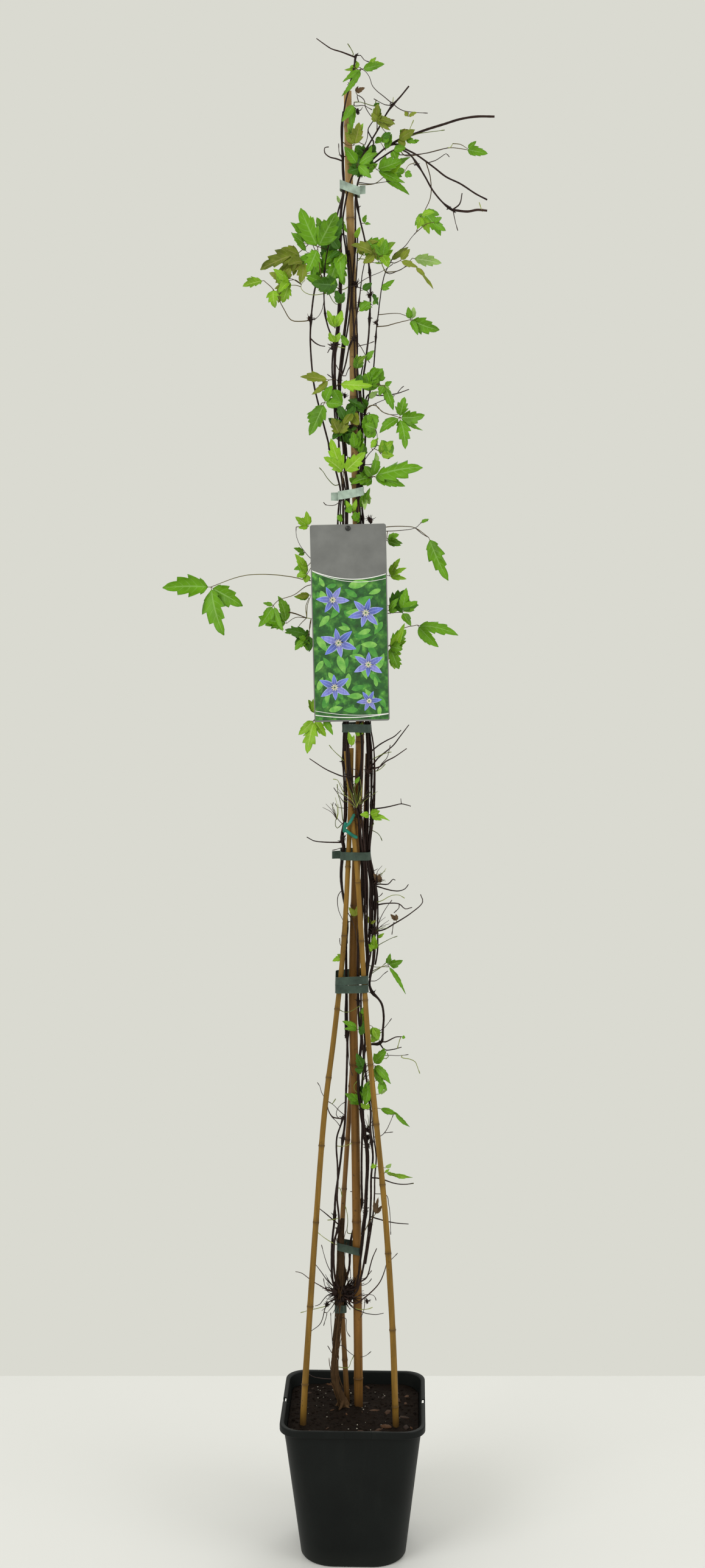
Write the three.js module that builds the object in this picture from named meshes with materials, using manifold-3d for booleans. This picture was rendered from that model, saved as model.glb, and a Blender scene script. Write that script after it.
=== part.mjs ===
// A climbing clematis in its square nursery pot, tied to four bamboo canes, with its label.
// Millimetres, +Z up. The origin is the middle of the pot's flat foot, -Y is the front.

import * as THREE from "three";
import { mergeVertices } from "three/addons/utils/BufferGeometryUtils.js";
import Module from "manifold-3d";

const wasm = await Module();
wasm.setup();

// Driving sizes: the pot and its soil

const POT_HEIGHT = 200;
const RIM_SIDE = 190;
const RIM_CORNER = 26;
const LIP_HEIGHT = 9;
const LIP_REACH = 4.2;
const LIP_ROUND = 1.5;
const BASE_SIDE = 140;
const BASE_CORNER = 45;
const BASE_ROUND = 2.5;
const WALL = 1.8;
const FLOOR = 2.5;
const POT_TURN = -0.03;
const NOTCH_LENGTH = 12;
const DRAIN_WIDTH = 12;
const DRAIN_LENGTH = 20;
const DRAIN_REACH = 63;
const SOIL_EDGE = 183;
const SOIL_MIDDLE = 191;
const SOIL_SIDE_GAP = 0.6;
const WALL_RINGS = [35, 70, 105, 140];
const RING_STEPS = 40;
const CORNER_CROWDING = 0.175;

// Driving sizes: canes, stems, leaves, tapes and label

const TALL_CANE_RADII = [6.0, 4.8];
const SHORT_CANE_RADII = [4.35, 2.9];
const BACK_CANE_RADII = [3.6, 2.6];
const CANE_SIDES = 8;
const CANE_NODE_SWELL = 0.7;
const STEM_RADIUS = 1.3;
const BRANCH_RADIUS = 1.1;
const TWIG_RADIUS = 0.7;
const BRANCH_FROM = 8;
const STALK_RADIUS = 0.6;
const CROWN_RADIUS = 4.2;
const BLADE_THICKNESS = 0.7;
const BLADE_FOLD = 0.22;
const BLADE_ARCH = 0.14;
const BLADE_WIDTHS = [0.12, 0.9, 0.92, 0.5, 0.06];
const TAPE_HEIGHT = 10.5;
const TAPE_THICKNESS = 0.6;
const LABEL_WIDTH = 95;
const LABEL_HEIGHT = 247;
const LABEL_THICKNESS = 0.6;
const LABEL_CORNER = 3;
const LABEL_DEPTH = -22;
const LABEL_LEAN = 0.022;
const PEG_DROP = 5;
const PEG_RADIUS = 1.5;
const PEG_HEAD_RADIUS = 3.2;
const PEG_BORE = 5.7;
const PEG_COLLAR = 1.5;
const GAP = 0.3;

// Sight line: the plant's courses are read as x and z where they are seen in the plane y = 0
// from the eye, and a depth y of their own carries them nearer or farther along the sight line.

const EYE = new THREE.Vector3(-2, -2537, 1374);

function seen(x, z, depth = 0) {
  const share = (depth - EYE.y) / -EYE.y;
  return new THREE.Vector3(x, 0, z).sub(EYE).multiplyScalar(share).add(EYE);
}

function course(points, depth = 0) {
  return points.map(([x, z, y]) => seen(x, z, y ?? depth));
}

// Solids: closing a geometry, joining and cutting

function closed(geometry) {
  const bare = geometry.clone();
  bare.deleteAttribute("normal");
  bare.deleteAttribute("uv");
  const merged = mergeVertices(bare, 1e-4);
  return new wasm.Manifold(
    new wasm.Mesh({
      numProp: 3,
      vertProperties: new Float32Array(merged.attributes.position.array),
      triVerts: new Uint32Array(merged.index.array),
    }),
  );
}

function joined(bodies) {
  return bodies.reduce((sum, next) => sum.add(next));
}

// Tubes along curves, with a ring of their section at each point of the course

class Course extends THREE.CatmullRomCurve3 {
  constructor(points) {
    super(points, false, "centripetal");
  }

  getPointAt(share, target) {
    return this.getPoint(share, target);
  }

  getTangentAt(share, target) {
    return this.getTangent(share, target);
  }
}

function section(radius, sides) {
  const shape = new THREE.Shape();
  shape.moveTo(radius, 0);
  for (let i = 1; i < sides; i += 1) {
    const angle = (2 * Math.PI * i) / sides;
    shape.lineTo(radius * Math.cos(angle), radius * Math.sin(angle));
  }
  shape.closePath();
  return shape;
}

function tube(points, radius, sides, stepsPerPoint = 1) {
  const steps = (points.length - 1) * stepsPerPoint;
  const extrudePath = new Course(points);
  const shape = section(radius, sides);
  return closed(new THREE.ExtrudeGeometry(shape, { steps, bevelEnabled: false, extrudePath }));
}

// The pot: a turned profile whose round rings are drawn out to rounded squares

const halfBase = BASE_SIDE / 2;
const halfRim = RIM_SIDE / 2;
const halfWall = halfRim - LIP_REACH;
const lipFoot = POT_HEIGHT - LIP_HEIGHT;

function wallInside(z) {
  return THREE.MathUtils.lerp(halfBase - 1, halfWall, z / POT_HEIGHT) - WALL;
}

function squared(geometry) {
  const position = geometry.attributes.position;
  for (let i = 0; i < position.count; i += 1) {
    const x = position.getX(i);
    const y = position.getY(i);
    const z = position.getZ(i);
    const half = Math.hypot(x, y);
    const turn = Math.atan2(y, x);
    const angle = turn + CORNER_CROWDING * Math.sin(4 * turn);
    const c = Math.abs(Math.cos(angle));
    const s = Math.abs(Math.sin(angle));
    const roundest = THREE.MathUtils.lerp(BASE_CORNER, RIM_CORNER, z / POT_HEIGHT);
    const corner = Math.min(half, roundest);
    const inner = half - corner;
    let reach = half / Math.max(c, s);
    if (Math.min(c, s) * half > inner * Math.max(c, s)) {
      const toCorner = inner * (c + s);
      reach = toCorner + Math.sqrt(toCorner ** 2 - 2 * inner ** 2 + corner ** 2);
    }
    position.setXYZ(i, reach * Math.cos(angle), reach * Math.sin(angle), z);
  }
  return geometry;
}

function squareTurned(profile) {
  const points = profile.map(([r, z]) => new THREE.Vector2(r, z));
  const lathe = new THREE.LatheGeometry(points, RING_STEPS);
  lathe.rotateX(Math.PI / 2);
  squared(lathe);
  lathe.rotateZ(POT_TURN);
  return closed(lathe);
}

const potProfile = [
  [0, 0],
  [halfBase - BASE_ROUND, 0],
  [halfBase, BASE_ROUND],
  [halfWall, POT_HEIGHT - WALL],
  [halfRim - WALL, POT_HEIGHT - WALL],
  [halfRim - WALL, lipFoot],
  [halfRim, lipFoot],
  [halfRim, POT_HEIGHT - LIP_ROUND],
  [halfRim - LIP_ROUND, POT_HEIGHT],
  [halfWall, POT_HEIGHT],
  [wallInside(POT_HEIGHT), POT_HEIGHT - LIP_ROUND],
  [wallInside(SOIL_EDGE), SOIL_EDGE],
  ...WALL_RINGS.map((z) => [wallInside(z), z]).reverse(),
  [wallInside(FLOOR), FLOOR],
  [0, FLOOR],
];

function block(width, depth, height, x, y, z, turn) {
  const geometry = new THREE.BoxGeometry(width, depth, height);
  geometry.translate(x, y, z);
  geometry.rotateZ(turn);
  return closed(geometry);
}

function makePot() {
  let pot = squareTurned(potProfile);
  const notchReach = LIP_REACH - WALL;
  for (const side of [-1, 1]) {
    const x = side * (halfRim - notchReach / 2);
    pot = pot.subtract(block(notchReach, NOTCH_LENGTH, 2 * LIP_HEIGHT, x, 0, POT_HEIGHT, POT_TURN));
  }
  for (const turn of [45, 135, 225, 315]) {
    const angle = THREE.MathUtils.degToRad(turn) + POT_TURN;
    pot = pot.subtract(block(DRAIN_LENGTH, DRAIN_WIDTH, 4 * FLOOR, DRAIN_REACH, 0, 0, angle));
  }
  return pot;
}

const soilProfile = [
  [0, FLOOR + GAP],
  [wallInside(FLOOR) - SOIL_SIDE_GAP, FLOOR + GAP],
  ...WALL_RINGS.map((z) => [wallInside(z) - SOIL_SIDE_GAP, z]),
  [wallInside(SOIL_EDGE) - SOIL_SIDE_GAP, SOIL_EDGE],
  [58, SOIL_EDGE + 2],
  [26, SOIL_MIDDLE - 1],
  [0, SOIL_MIDDLE],
];

// Canes: a turned rod with a swelling at each node, laid along its course

function atHeight(points, z) {
  const last = points.length - 2;
  const above = points.findIndex((point) => point.z > z);
  const i = above < 0 ? last : THREE.MathUtils.clamp(above - 1, 0, last);
  const share = (z - points[i].z) / (points[i + 1].z - points[i].z);
  return points[i].clone().lerp(points[i + 1], share);
}

function cane({ path, radii, nodes }, room = 0) {
  const foot = path[0].z - room;
  const top = path[path.length - 1].z;
  const radiusAt = (z) => THREE.MathUtils.mapLinear(z, path[0].z, top, radii[0], radii[1]) + room;
  const profile = [[0, foot], [radiusAt(foot), foot]];
  for (const z of nodes) {
    profile.push([radiusAt(z), z - 3], [radiusAt(z) + CANE_NODE_SWELL, z], [radiusAt(z), z + 2]);
  }
  profile.push([radiusAt(top), top], [0, top]);
  const outline = profile.map(([r, z]) => new THREE.Vector2(r, z));
  const lathe = new THREE.LatheGeometry(outline, CANE_SIDES);
  lathe.rotateX(Math.PI / 2);
  const position = lathe.attributes.position;
  for (let i = 0; i < position.count; i += 1) {
    const middle = atHeight(path, position.getZ(i));
    position.setX(i, position.getX(i) + middle.x);
    position.setY(i, position.getY(i) + middle.y);
  }
  return closed(lathe);
}

const canes = {
  cane_tall: {
    color: 0xa06c35,
    radii: TALL_CANE_RADII,
    nodes: [228, 337, 446, 555, 660, 768, 872, 978, 1085, 1192, 1300, 1410, 1518, 1626, 1735, 1845],
    path: course([
      [7.2, 86, 9], [6.1, 196, 8], [5.2, 300, 7.5], [4, 400, 7], [2.4, 530, 6.5], [0.4, 650, 6],
      [-1.4, 750, 5.5], [-0.6, 820, 5], [2, 900, 4.5], [5, 1000, 4], [7.4, 1090, 4], [6.5, 1200, 3.5],
      [3.2, 1363, 3], [0, 1500, 2.5], [-1.6, 1640, 2], [-3.4, 1700, 1.5], [-6.2, 1780, 1], [-8, 1886, 0],
    ]),
  },
  cane_left: {
    color: 0xb98d45,
    radii: SHORT_CANE_RADII,
    nodes: [240, 345, 458, 560, 650, 740, 835, 925],
    path: course([
      [-70.5, 70, -42], [-67.8, 176, -40], [-60.2, 300, -35], [-50, 450, -28.5], [-38.3, 600, -21.5],
      [-26, 700, -17], [-14.4, 810, -12], [-8, 920, -7], [-4.6, 1010, -3], [-3.3, 1077, -3],
    ]),
  },
  cane_right: {
    color: 0xb98a40,
    radii: SHORT_CANE_RADII,
    nodes: [212, 315, 418, 510, 590, 668, 753, 830, 905, 985],
    path: course([
      [58, 70, -46], [56, 162, -45], [51.2, 300, -38.5], [41.8, 450, -33], [27.4, 600, -27.5],
      [18, 700, -23.5], [11.2, 800, -19.5], [5.2, 900, -15.5], [1, 950, -13.8], [-4.4, 1010, -11.5],
      [-10.3, 1073, -10.5],
    ]),
  },
  cane_back: {
    color: 0x8a5f30,
    radii: BACK_CANE_RADII,
    nodes: [250, 335, 420, 488, 555, 628, 700, 775, 850, 955],
    path: course([
      [-3, 100, 17], [-9, 200, 16.5], [-14.5, 300, 16], [-17.6, 380, 16], [-15.3, 450, 16], [-6, 600, 16],
      [2.8, 750, 16], [9.6, 880, 15], [14.8, 1000, 13.5], [17, 1070, 13],
    ]),
  },
};

// The crown: the woody foot of the plant, its knotted head and the dry stalks that leave it

const crownCourse = [
  [-10, 168, 7], [-12, 193, 6], [-18, 205, 5], [-24, 224, 4], [-26, 250, 3], [-23.5, 285, 3], [-21, 310, 3],
  [-18.5, 345, 3], [-17.5, 380, 3], [-17.5, 425, 3], [-15, 452, 2],
];

const crownStalks = [
  [
    [-14, 344, -2], [2, 335, -5], [12.7, 342, -4], [22, 350, -2], [30, 358.5], [35.3, 366.5], [40.6, 380.5],
    [43.3, 391],
  ],
  [[-20, 352, 2], [-35, 353.5], [-43, 358.5], [-52.3, 364], [-60.3, 370], [-69.6, 377], [-77.6, 379]],
  [[-20, 355, 0], [-29.7, 361, 3], [-36.4, 368, 4], [-43, 378, 4], [-51, 389, 4]],
  [[-20, 348, 0], [-33.7, 347, -2], [-40.4, 340.5, -3], [-45.7, 333.5, -3], [-51.7, 331.5, -3]],
  [[-20, 344, 4], [-33, 337, 4], [-38.4, 328, 4], [-41.7, 314, 3], [-45.7, 305.5, 3], [-57, 296.5, 3]],
  [[-14, 342, -1], [0, 328, -5], [8.8, 324, -5], [16.7, 321, -4], [30, 319.5, -2], [39.3, 321.5, 0]],
];

function ball(room, [width, depth, height], place) {
  const sphere = new THREE.SphereGeometry(1, 9, 6);
  sphere.rotateX(Math.PI / 2);
  sphere.scale(width + room, depth + room, height + room);
  sphere.translate(...place);
  return closed(sphere);
}

function makeCrown(room = 0) {
  const stem = tube(course(crownCourse), CROWN_RADIUS + room, 7);
  const flare = ball(room, [7.5, 6.5, 10], [-13.5, 6.5, 190]);
  const knot = ball(room, [13, 8, 15], [-16, 2, 350]);
  const stalks = crownStalks.map((points) => tube(course(points), TWIG_RADIUS + room, 4));
  return joined([stem, flare, knot, ...stalks]);
}

// Stems: each keeps to a lane of its own in depth, so that they cross without touching

const stems = {
  stem_left: {
    lane: 0,
    main: [
      [-20, 354], [-27, 362], [-29.5, 402], [-28, 430], [-26, 448], [-24.6, 480], [-21, 508], [-17.8, 531],
      [-15, 558], [-12.2, 580], [-10.6, 620], [-9.3, 660], [-8.8, 700], [-9.2, 740], [-9.8, 790], [-10, 820],
      [-9.6, 846], [-11.2, 868], [-15, 889], [-17.3, 910], [-16, 934], [-14, 950], [-16.3, 962.5],
      [-12.4, 986], [-12.6, 1030], [-14, 1060], [-13.5, 1085], [-13, 1104], [-15, 1150], [-17, 1200], [-19, 1300],
      [-20.5, 1363], [-19, 1385], [-17, 1401], [-21, 1420], [-28, 1445], [-33, 1465], [-38, 1484],
      [-44.5, 1509], [-50, 1533], [-53, 1560], [-54.5, 1590], [-53.5, 1612], [-51.5, 1632], [-49, 1648],
      [-44.5, 1664], [-39, 1678], [-33, 1695], [-26, 1718], [-20, 1742], [-14.5, 1762], [-13.5, 1774],
    ],
    twigs: [
      [[-16, 955], [-28.4, 955], [-40.4, 955.5], [-51.6, 957], [-60.8, 962]],
      [[-54.5, 1590], [-48, 1584, -4], [-42, 1581, -7], [-36, 1580, -8]],
    ],
  },
  stem_short: {
    lane: -5,
    main: [
      [-18, 354, -3], [-24, 366], [-26.6, 385], [-26.8, 408], [-25.4, 424], [-20.5, 440], [-20, 455],
      [-22.3, 479], [-21.5, 502], [-21.7, 525], [-23.2, 549], [-22.3, 564], [-17.2, 580], [-13.6, 592],
    ],
    twigs: [
      [[-15, 588], [-28, 590.5], [-33, 598], [-35, 606]],
      [[-20.4, 444], [-29.6, 452], [-37.4, 459], [-46, 466]],
    ],
  },
  stem_front: {
    lane: -9.5,
    main: [
      [-12, 354, -2], [1, 355, -4], [5, 368, -4], [8.8, 398, -4], [12, 425, -4], [15.6, 460, -4],
      [17.2, 495, -4], [18.6, 540, -5], [15.2, 566, -5], [11.3, 595, -5], [6.8, 630, -5], [6, 660, -5],
      [9.2, 696, -6], [6.6, 716, -6], [5.4, 745, -6], [4.6, 790, -6], [6, 830, -6], [9.4, 860, -6],
      [11.4, 890, -6], [10.6, 917, -6], [9, 945, -6], [7, 985], [6.5, 1005], [9, 1040], [11, 1075],
      [9.5, 1104], [6, 1160], [0, 1240], [-8.5, 1340], [-8.5, 1363], [-8.5, 1400], [-12, 1430],
      [-14, 1460], [-17, 1480], [-19.5, 1505], [-19, 1538], [-15.5, 1575], [-10.5, 1614], [-7.4, 1640],
      [-6.5, 1660], [-9, 1690], [-12.5, 1712], [-14, 1732], [-11, 1752], [-7.6, 1768], [-3, 1783],
      [5, 1798], [12, 1812], [20, 1826], [30, 1842, -12], [37, 1855, -14], [45, 1867, -16],
      [57, 1880, -18], [67, 1892, -20],
    ],
    twigs: [
      [
        [9, 1040], [3, 1040.5, -18], [-4, 1040, -22.5], [-14, 1040.5, -23], [-26, 1045, -21],
        [-37.4, 1050.5, -18], [-57, 1063.5, -16],
      ],
      [
        [-19, 1538], [-14.4, 1547, -12.5], [-10.8, 1558, -13.5], [-5.8, 1580, -13.5], [-1.5, 1590, -13.5],
        [2, 1611, -13], [5.8, 1633, -12.5], [8, 1650, -12], [10, 1667, -10], [13, 1682, -7],
      ],
      [[12, 1812], [24, 1824, -12], [20, 1833, -14], [17, 1840, -14], [24, 1852, -13]],
    ],
  },
  stem_leader: {
    lane: -15,
    main: [
      [-14, 347, -2], [-5, 345, -8], [3, 351, -9.5], [7.2, 364, -9.5], [10.8, 378, -9.5], [15, 402, -9.5],
      [17.5, 420, -9.5], [20.5, 446, -9.5], [22.3, 480, -9.5], [22.5, 508, -9.5], [24.8, 537, -9.5],
      [22.6, 560, -9.5], [21.4, 578, -9.5], [22, 597, -9.5], [19.7, 613, -9.5], [16.5, 640, -9.5],
      [13.4, 662, -9.5], [11.6, 685, -9.5], [9.6, 716, -9.5], [9, 742, -9.5], [9.6, 762, -9.5],
      [14, 778, -9.5], [16.4, 795, -9.5], [16, 812, -9.5], [14.4, 835, -9.5], [14, 860, -9.5],
      [14.4, 890, -9.5], [13.6, 915, -11], [12.4, 935, -14], [9.5, 955, -18.5], [7.6, 975, -19],
      [5, 992, -19], [0, 1008, -19], [-5, 1026, -18.5], [-8.2, 1045, -18], [-9.3, 1065, -17],
      [-9.6, 1085, -16], [-9.6, 1106], [-10, 1200], [-12.4, 1320], [-13.4, 1363], [-13.6, 1402],
      [-16.6, 1430], [-19, 1462], [-21, 1492], [-22.4, 1520], [-23.6, 1548], [-22.6, 1575], [-20, 1590],
      [-17.6, 1614], [-16.2, 1640], [-15.4, 1680], [-16.4, 1712], [-15.6, 1742], [-12.4, 1768],
      [-12.4, 1784, -13], [-13.6, 1803, -12], [-14.5, 1830, -11], [-13.6, 1852, -10], [-11, 1871, -9],
      [-6, 1890, -8.5], [-1, 1910, -8.5], [2, 1928, -8.5],
    ],
    twigs: [
      [
        [-22.6, 1575], [-27, 1590, -17], [-32.5, 1604, -17], [-36, 1620, -17], [-37.5, 1645, -17],
        [-37, 1665, -16], [-35.5, 1682, -15], [-32, 1700, -14], [-27, 1720, -12], [-24, 1737, -11],
      ],
      [[1, 1926, -8.5], [-15, 1932, -12], [-28, 1936, -16], [-36, 1941, -18], [-46, 1948, -20]],
      [
        [-13.6, 1803, -12], [-22, 1806, -12], [-30, 1808, -12], [-36, 1813, -12], [-36, 1819, -12],
        [-31, 1820, -12],
      ],
      [[22.5, 508, -9.5], [33, 507, -8], [54.4, 500, -7], [67.9, 499, -7], [78.5, 500.5, -7]],
      [[21, 455, -9.5], [32, 451.5, -9], [46.6, 447.5, -8], [59, 445.5, -8], [72, 444.5, -8]],
      [[7.2, 364, -9.5], [16.7, 371, -12], [22, 389, -12], [24.7, 398.5, -12], [30, 411, -12]],
    ],
  },
  stem_inner: {
    lane: -6,
    main: [
      [-14, 358, 4], [-6.5, 384, 3], [-5.4, 402, 5], [-4.5, 420, 17], [0, 440, 20], [6, 455, 18],
      [10.2, 472, 10], [10, 500, 2], [10, 540, 1], [10.8, 575, 0], [10.2, 600, 0], [10.4, 630, 0],
      [12.5, 660, 0], [14.5, 695, 0], [15.2, 730, 0], [14.2, 756, 0], [14.6, 784, 0], [19, 815, 0],
      [21.2, 852, 0], [21.4, 880, 0], [21.4, 905, 0], [17.6, 930, 0], [14.4, 945, 0], [14, 975, 0],
      [15, 1000, 0], [16, 1040, 0], [17, 1075, 0], [15.6, 1104, 0], [13.6, 1180, 0], [10, 1280, -2],
      [6.5, 1345], [4.5, 1368, -8], [3.4, 1400, -7], [6, 1440], [6.2, 1480], [4, 1520], [1, 1547],
      [0.7, 1580], [-1, 1612], [-2.6, 1636], [-1, 1670], [1.4, 1700], [1.6, 1730], [1.4, 1755],
      [3, 1770, -5], [8, 1786, -4.5], [20, 1797, -4.5], [35, 1808, -4.5], [52, 1817, -5],
      [66, 1813, -8], [78, 1799, -12], [87, 1785, -14], [97, 1768, -16], [110, 1753, -18], [122, 1744, -18],
    ],
    twigs: [
      [[121, 1745, -18], [140, 1743, -20], [152, 1745, -22], [164, 1744, -24]],
      [[121, 1745, -18], [130, 1752, -18], [133, 1765, -18]],
    ],
  },
  stem_right: {
    lane: 1.5,
    main: [
      [13, 676, 7], [17, 684, 6], [23, 688.5, 4], [30, 688.5, 3], [36, 692, 2], [37.6, 708], [38.6, 726],
      [36, 742], [30.8, 750], [24, 757], [20.4, 766], [21, 777], [24.7, 794], [26.7, 812], [26.4, 842],
      [26.9, 870], [26.8, 886], [25.4, 899], [23.2, 915], [19.6, 932], [18.4, 943], [19, 957], [20.6, 974],
      [22, 998], [22, 1045], [22, 1073], [20.6, 1090], [18.8, 1105], [18.4, 1150], [16.5, 1250],
      [13, 1340], [11, 1368], [9.6, 1400], [12, 1425], [13.8, 1460], [13.6, 1495], [11.6, 1522],
      [11.6, 1543], [13.7, 1557], [15.8, 1574], [18, 1592], [19.2, 1614], [20.2, 1640], [20, 1661],
      [18.4, 1678], [15.4, 1698], [11.8, 1715], [7.8, 1731], [4.4, 1748], [3, 1764], [5.5, 1781],
      [14, 1795], [27, 1809], [42, 1821], [52, 1823], [63, 1817.5, 4], [76, 1811, 8], [88, 1803, 10],
      [99, 1795, 12], [113, 1784.5, 14], [131, 1776, 16], [150, 1764, 18], [164, 1757, 18],
    ],
    twigs: [
      [
        [13.6, 1495], [17, 1512, 0], [21, 1530, 0], [24.3, 1554, 0], [28, 1604, 0], [29.6, 1616, 0],
        [31.6, 1633, 0], [35, 1656, 0], [38.8, 1670, 0], [45, 1682, 0], [50, 1692, 0],
      ],
      [
        [42, 1821], [56, 1829, 3], [70, 1834, 8], [90, 1841, 12], [110, 1847, 14], [130, 1853, 16],
        [150, 1856, 16], [172, 1856, 16],
      ],
      [[22, 1053], [31, 1064.5, 3], [42, 1073.5, 3], [50.5, 1081, 3], [58, 1091, 3], [70, 1107, 3]],
      [[22, 1073], [32.7, 1081.5, -1], [42, 1087, -1], [51.4, 1092, -1], [60, 1100, -1]],
      [[22, 1050], [32.7, 1053, -3], [41, 1060, -4], [51.4, 1065.5, -4], [67.3, 1076.5, -4]],
      [[22, 998], [40, 1000.5, 1], [51.4, 1003, 1], [60.7, 1005, 1], [72.9, 1002, 1]],
      [[26.9, 872], [36.5, 874.5, 1], [58, 874.5, 1], [66, 868, 1], [75, 870, 1]],
      [[26.4, 838], [39.4, 841, 3], [50.5, 847.5, 3], [73.7, 862.5, 3], [88.5, 877, 3], [85.7, 887, 3]],
      [[25.4, 899], [31.5, 900.5, -3], [44, 900.5, -4], [50.5, 907, -4], [53.3, 905.5, -4]],
      [[25.4, 899], [41, 894, 4], [49.5, 892, 4], [58, 891.5, 4], [66, 894.5, 4], [70, 900, 4]],
      [[36, 692, 2], [41, 691.5, -2], [54.5, 698, -3], [62, 698.5, -3]],
      [[33, 690, 2.5], [40, 681, 4], [49, 681, 4], [62, 684.5, 4]],
      [[13, 1510], [18, 1521, 6], [32, 1520, 7], [52, 1522, 7], [68.5, 1527.5, 7]],
    ],
  },
};

function makeStem({ lane, main, twigs }, room = 0) {
  const body = tube(course(main, lane), STEM_RADIUS + room, 5);
  const branches = twigs.map((points) => {
    const isBranch = points.length >= BRANCH_FROM;
    const radius = isBranch ? BRANCH_RADIUS : TWIG_RADIUS;
    return tube(course(points, lane), radius + room, isBranch ? 5 : 4);
  });
  return joined([body, ...branches]);
}

// Leaves: a stalk from its stem to a hub, and thin pointed blades, folded along the midrib.
// A blade is given by its tip (x, z), its width, its tip's depth and, where it isn't the hub, its
// base.

const FRESH = 0x55922a;
const BRIGHT = 0x83b92f;
const OLIVE = 0x747c33;
const PALE = 0xa8c47f;
const DARK = 0x2e5a22;
const DRY = 0x5a4030;

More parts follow.
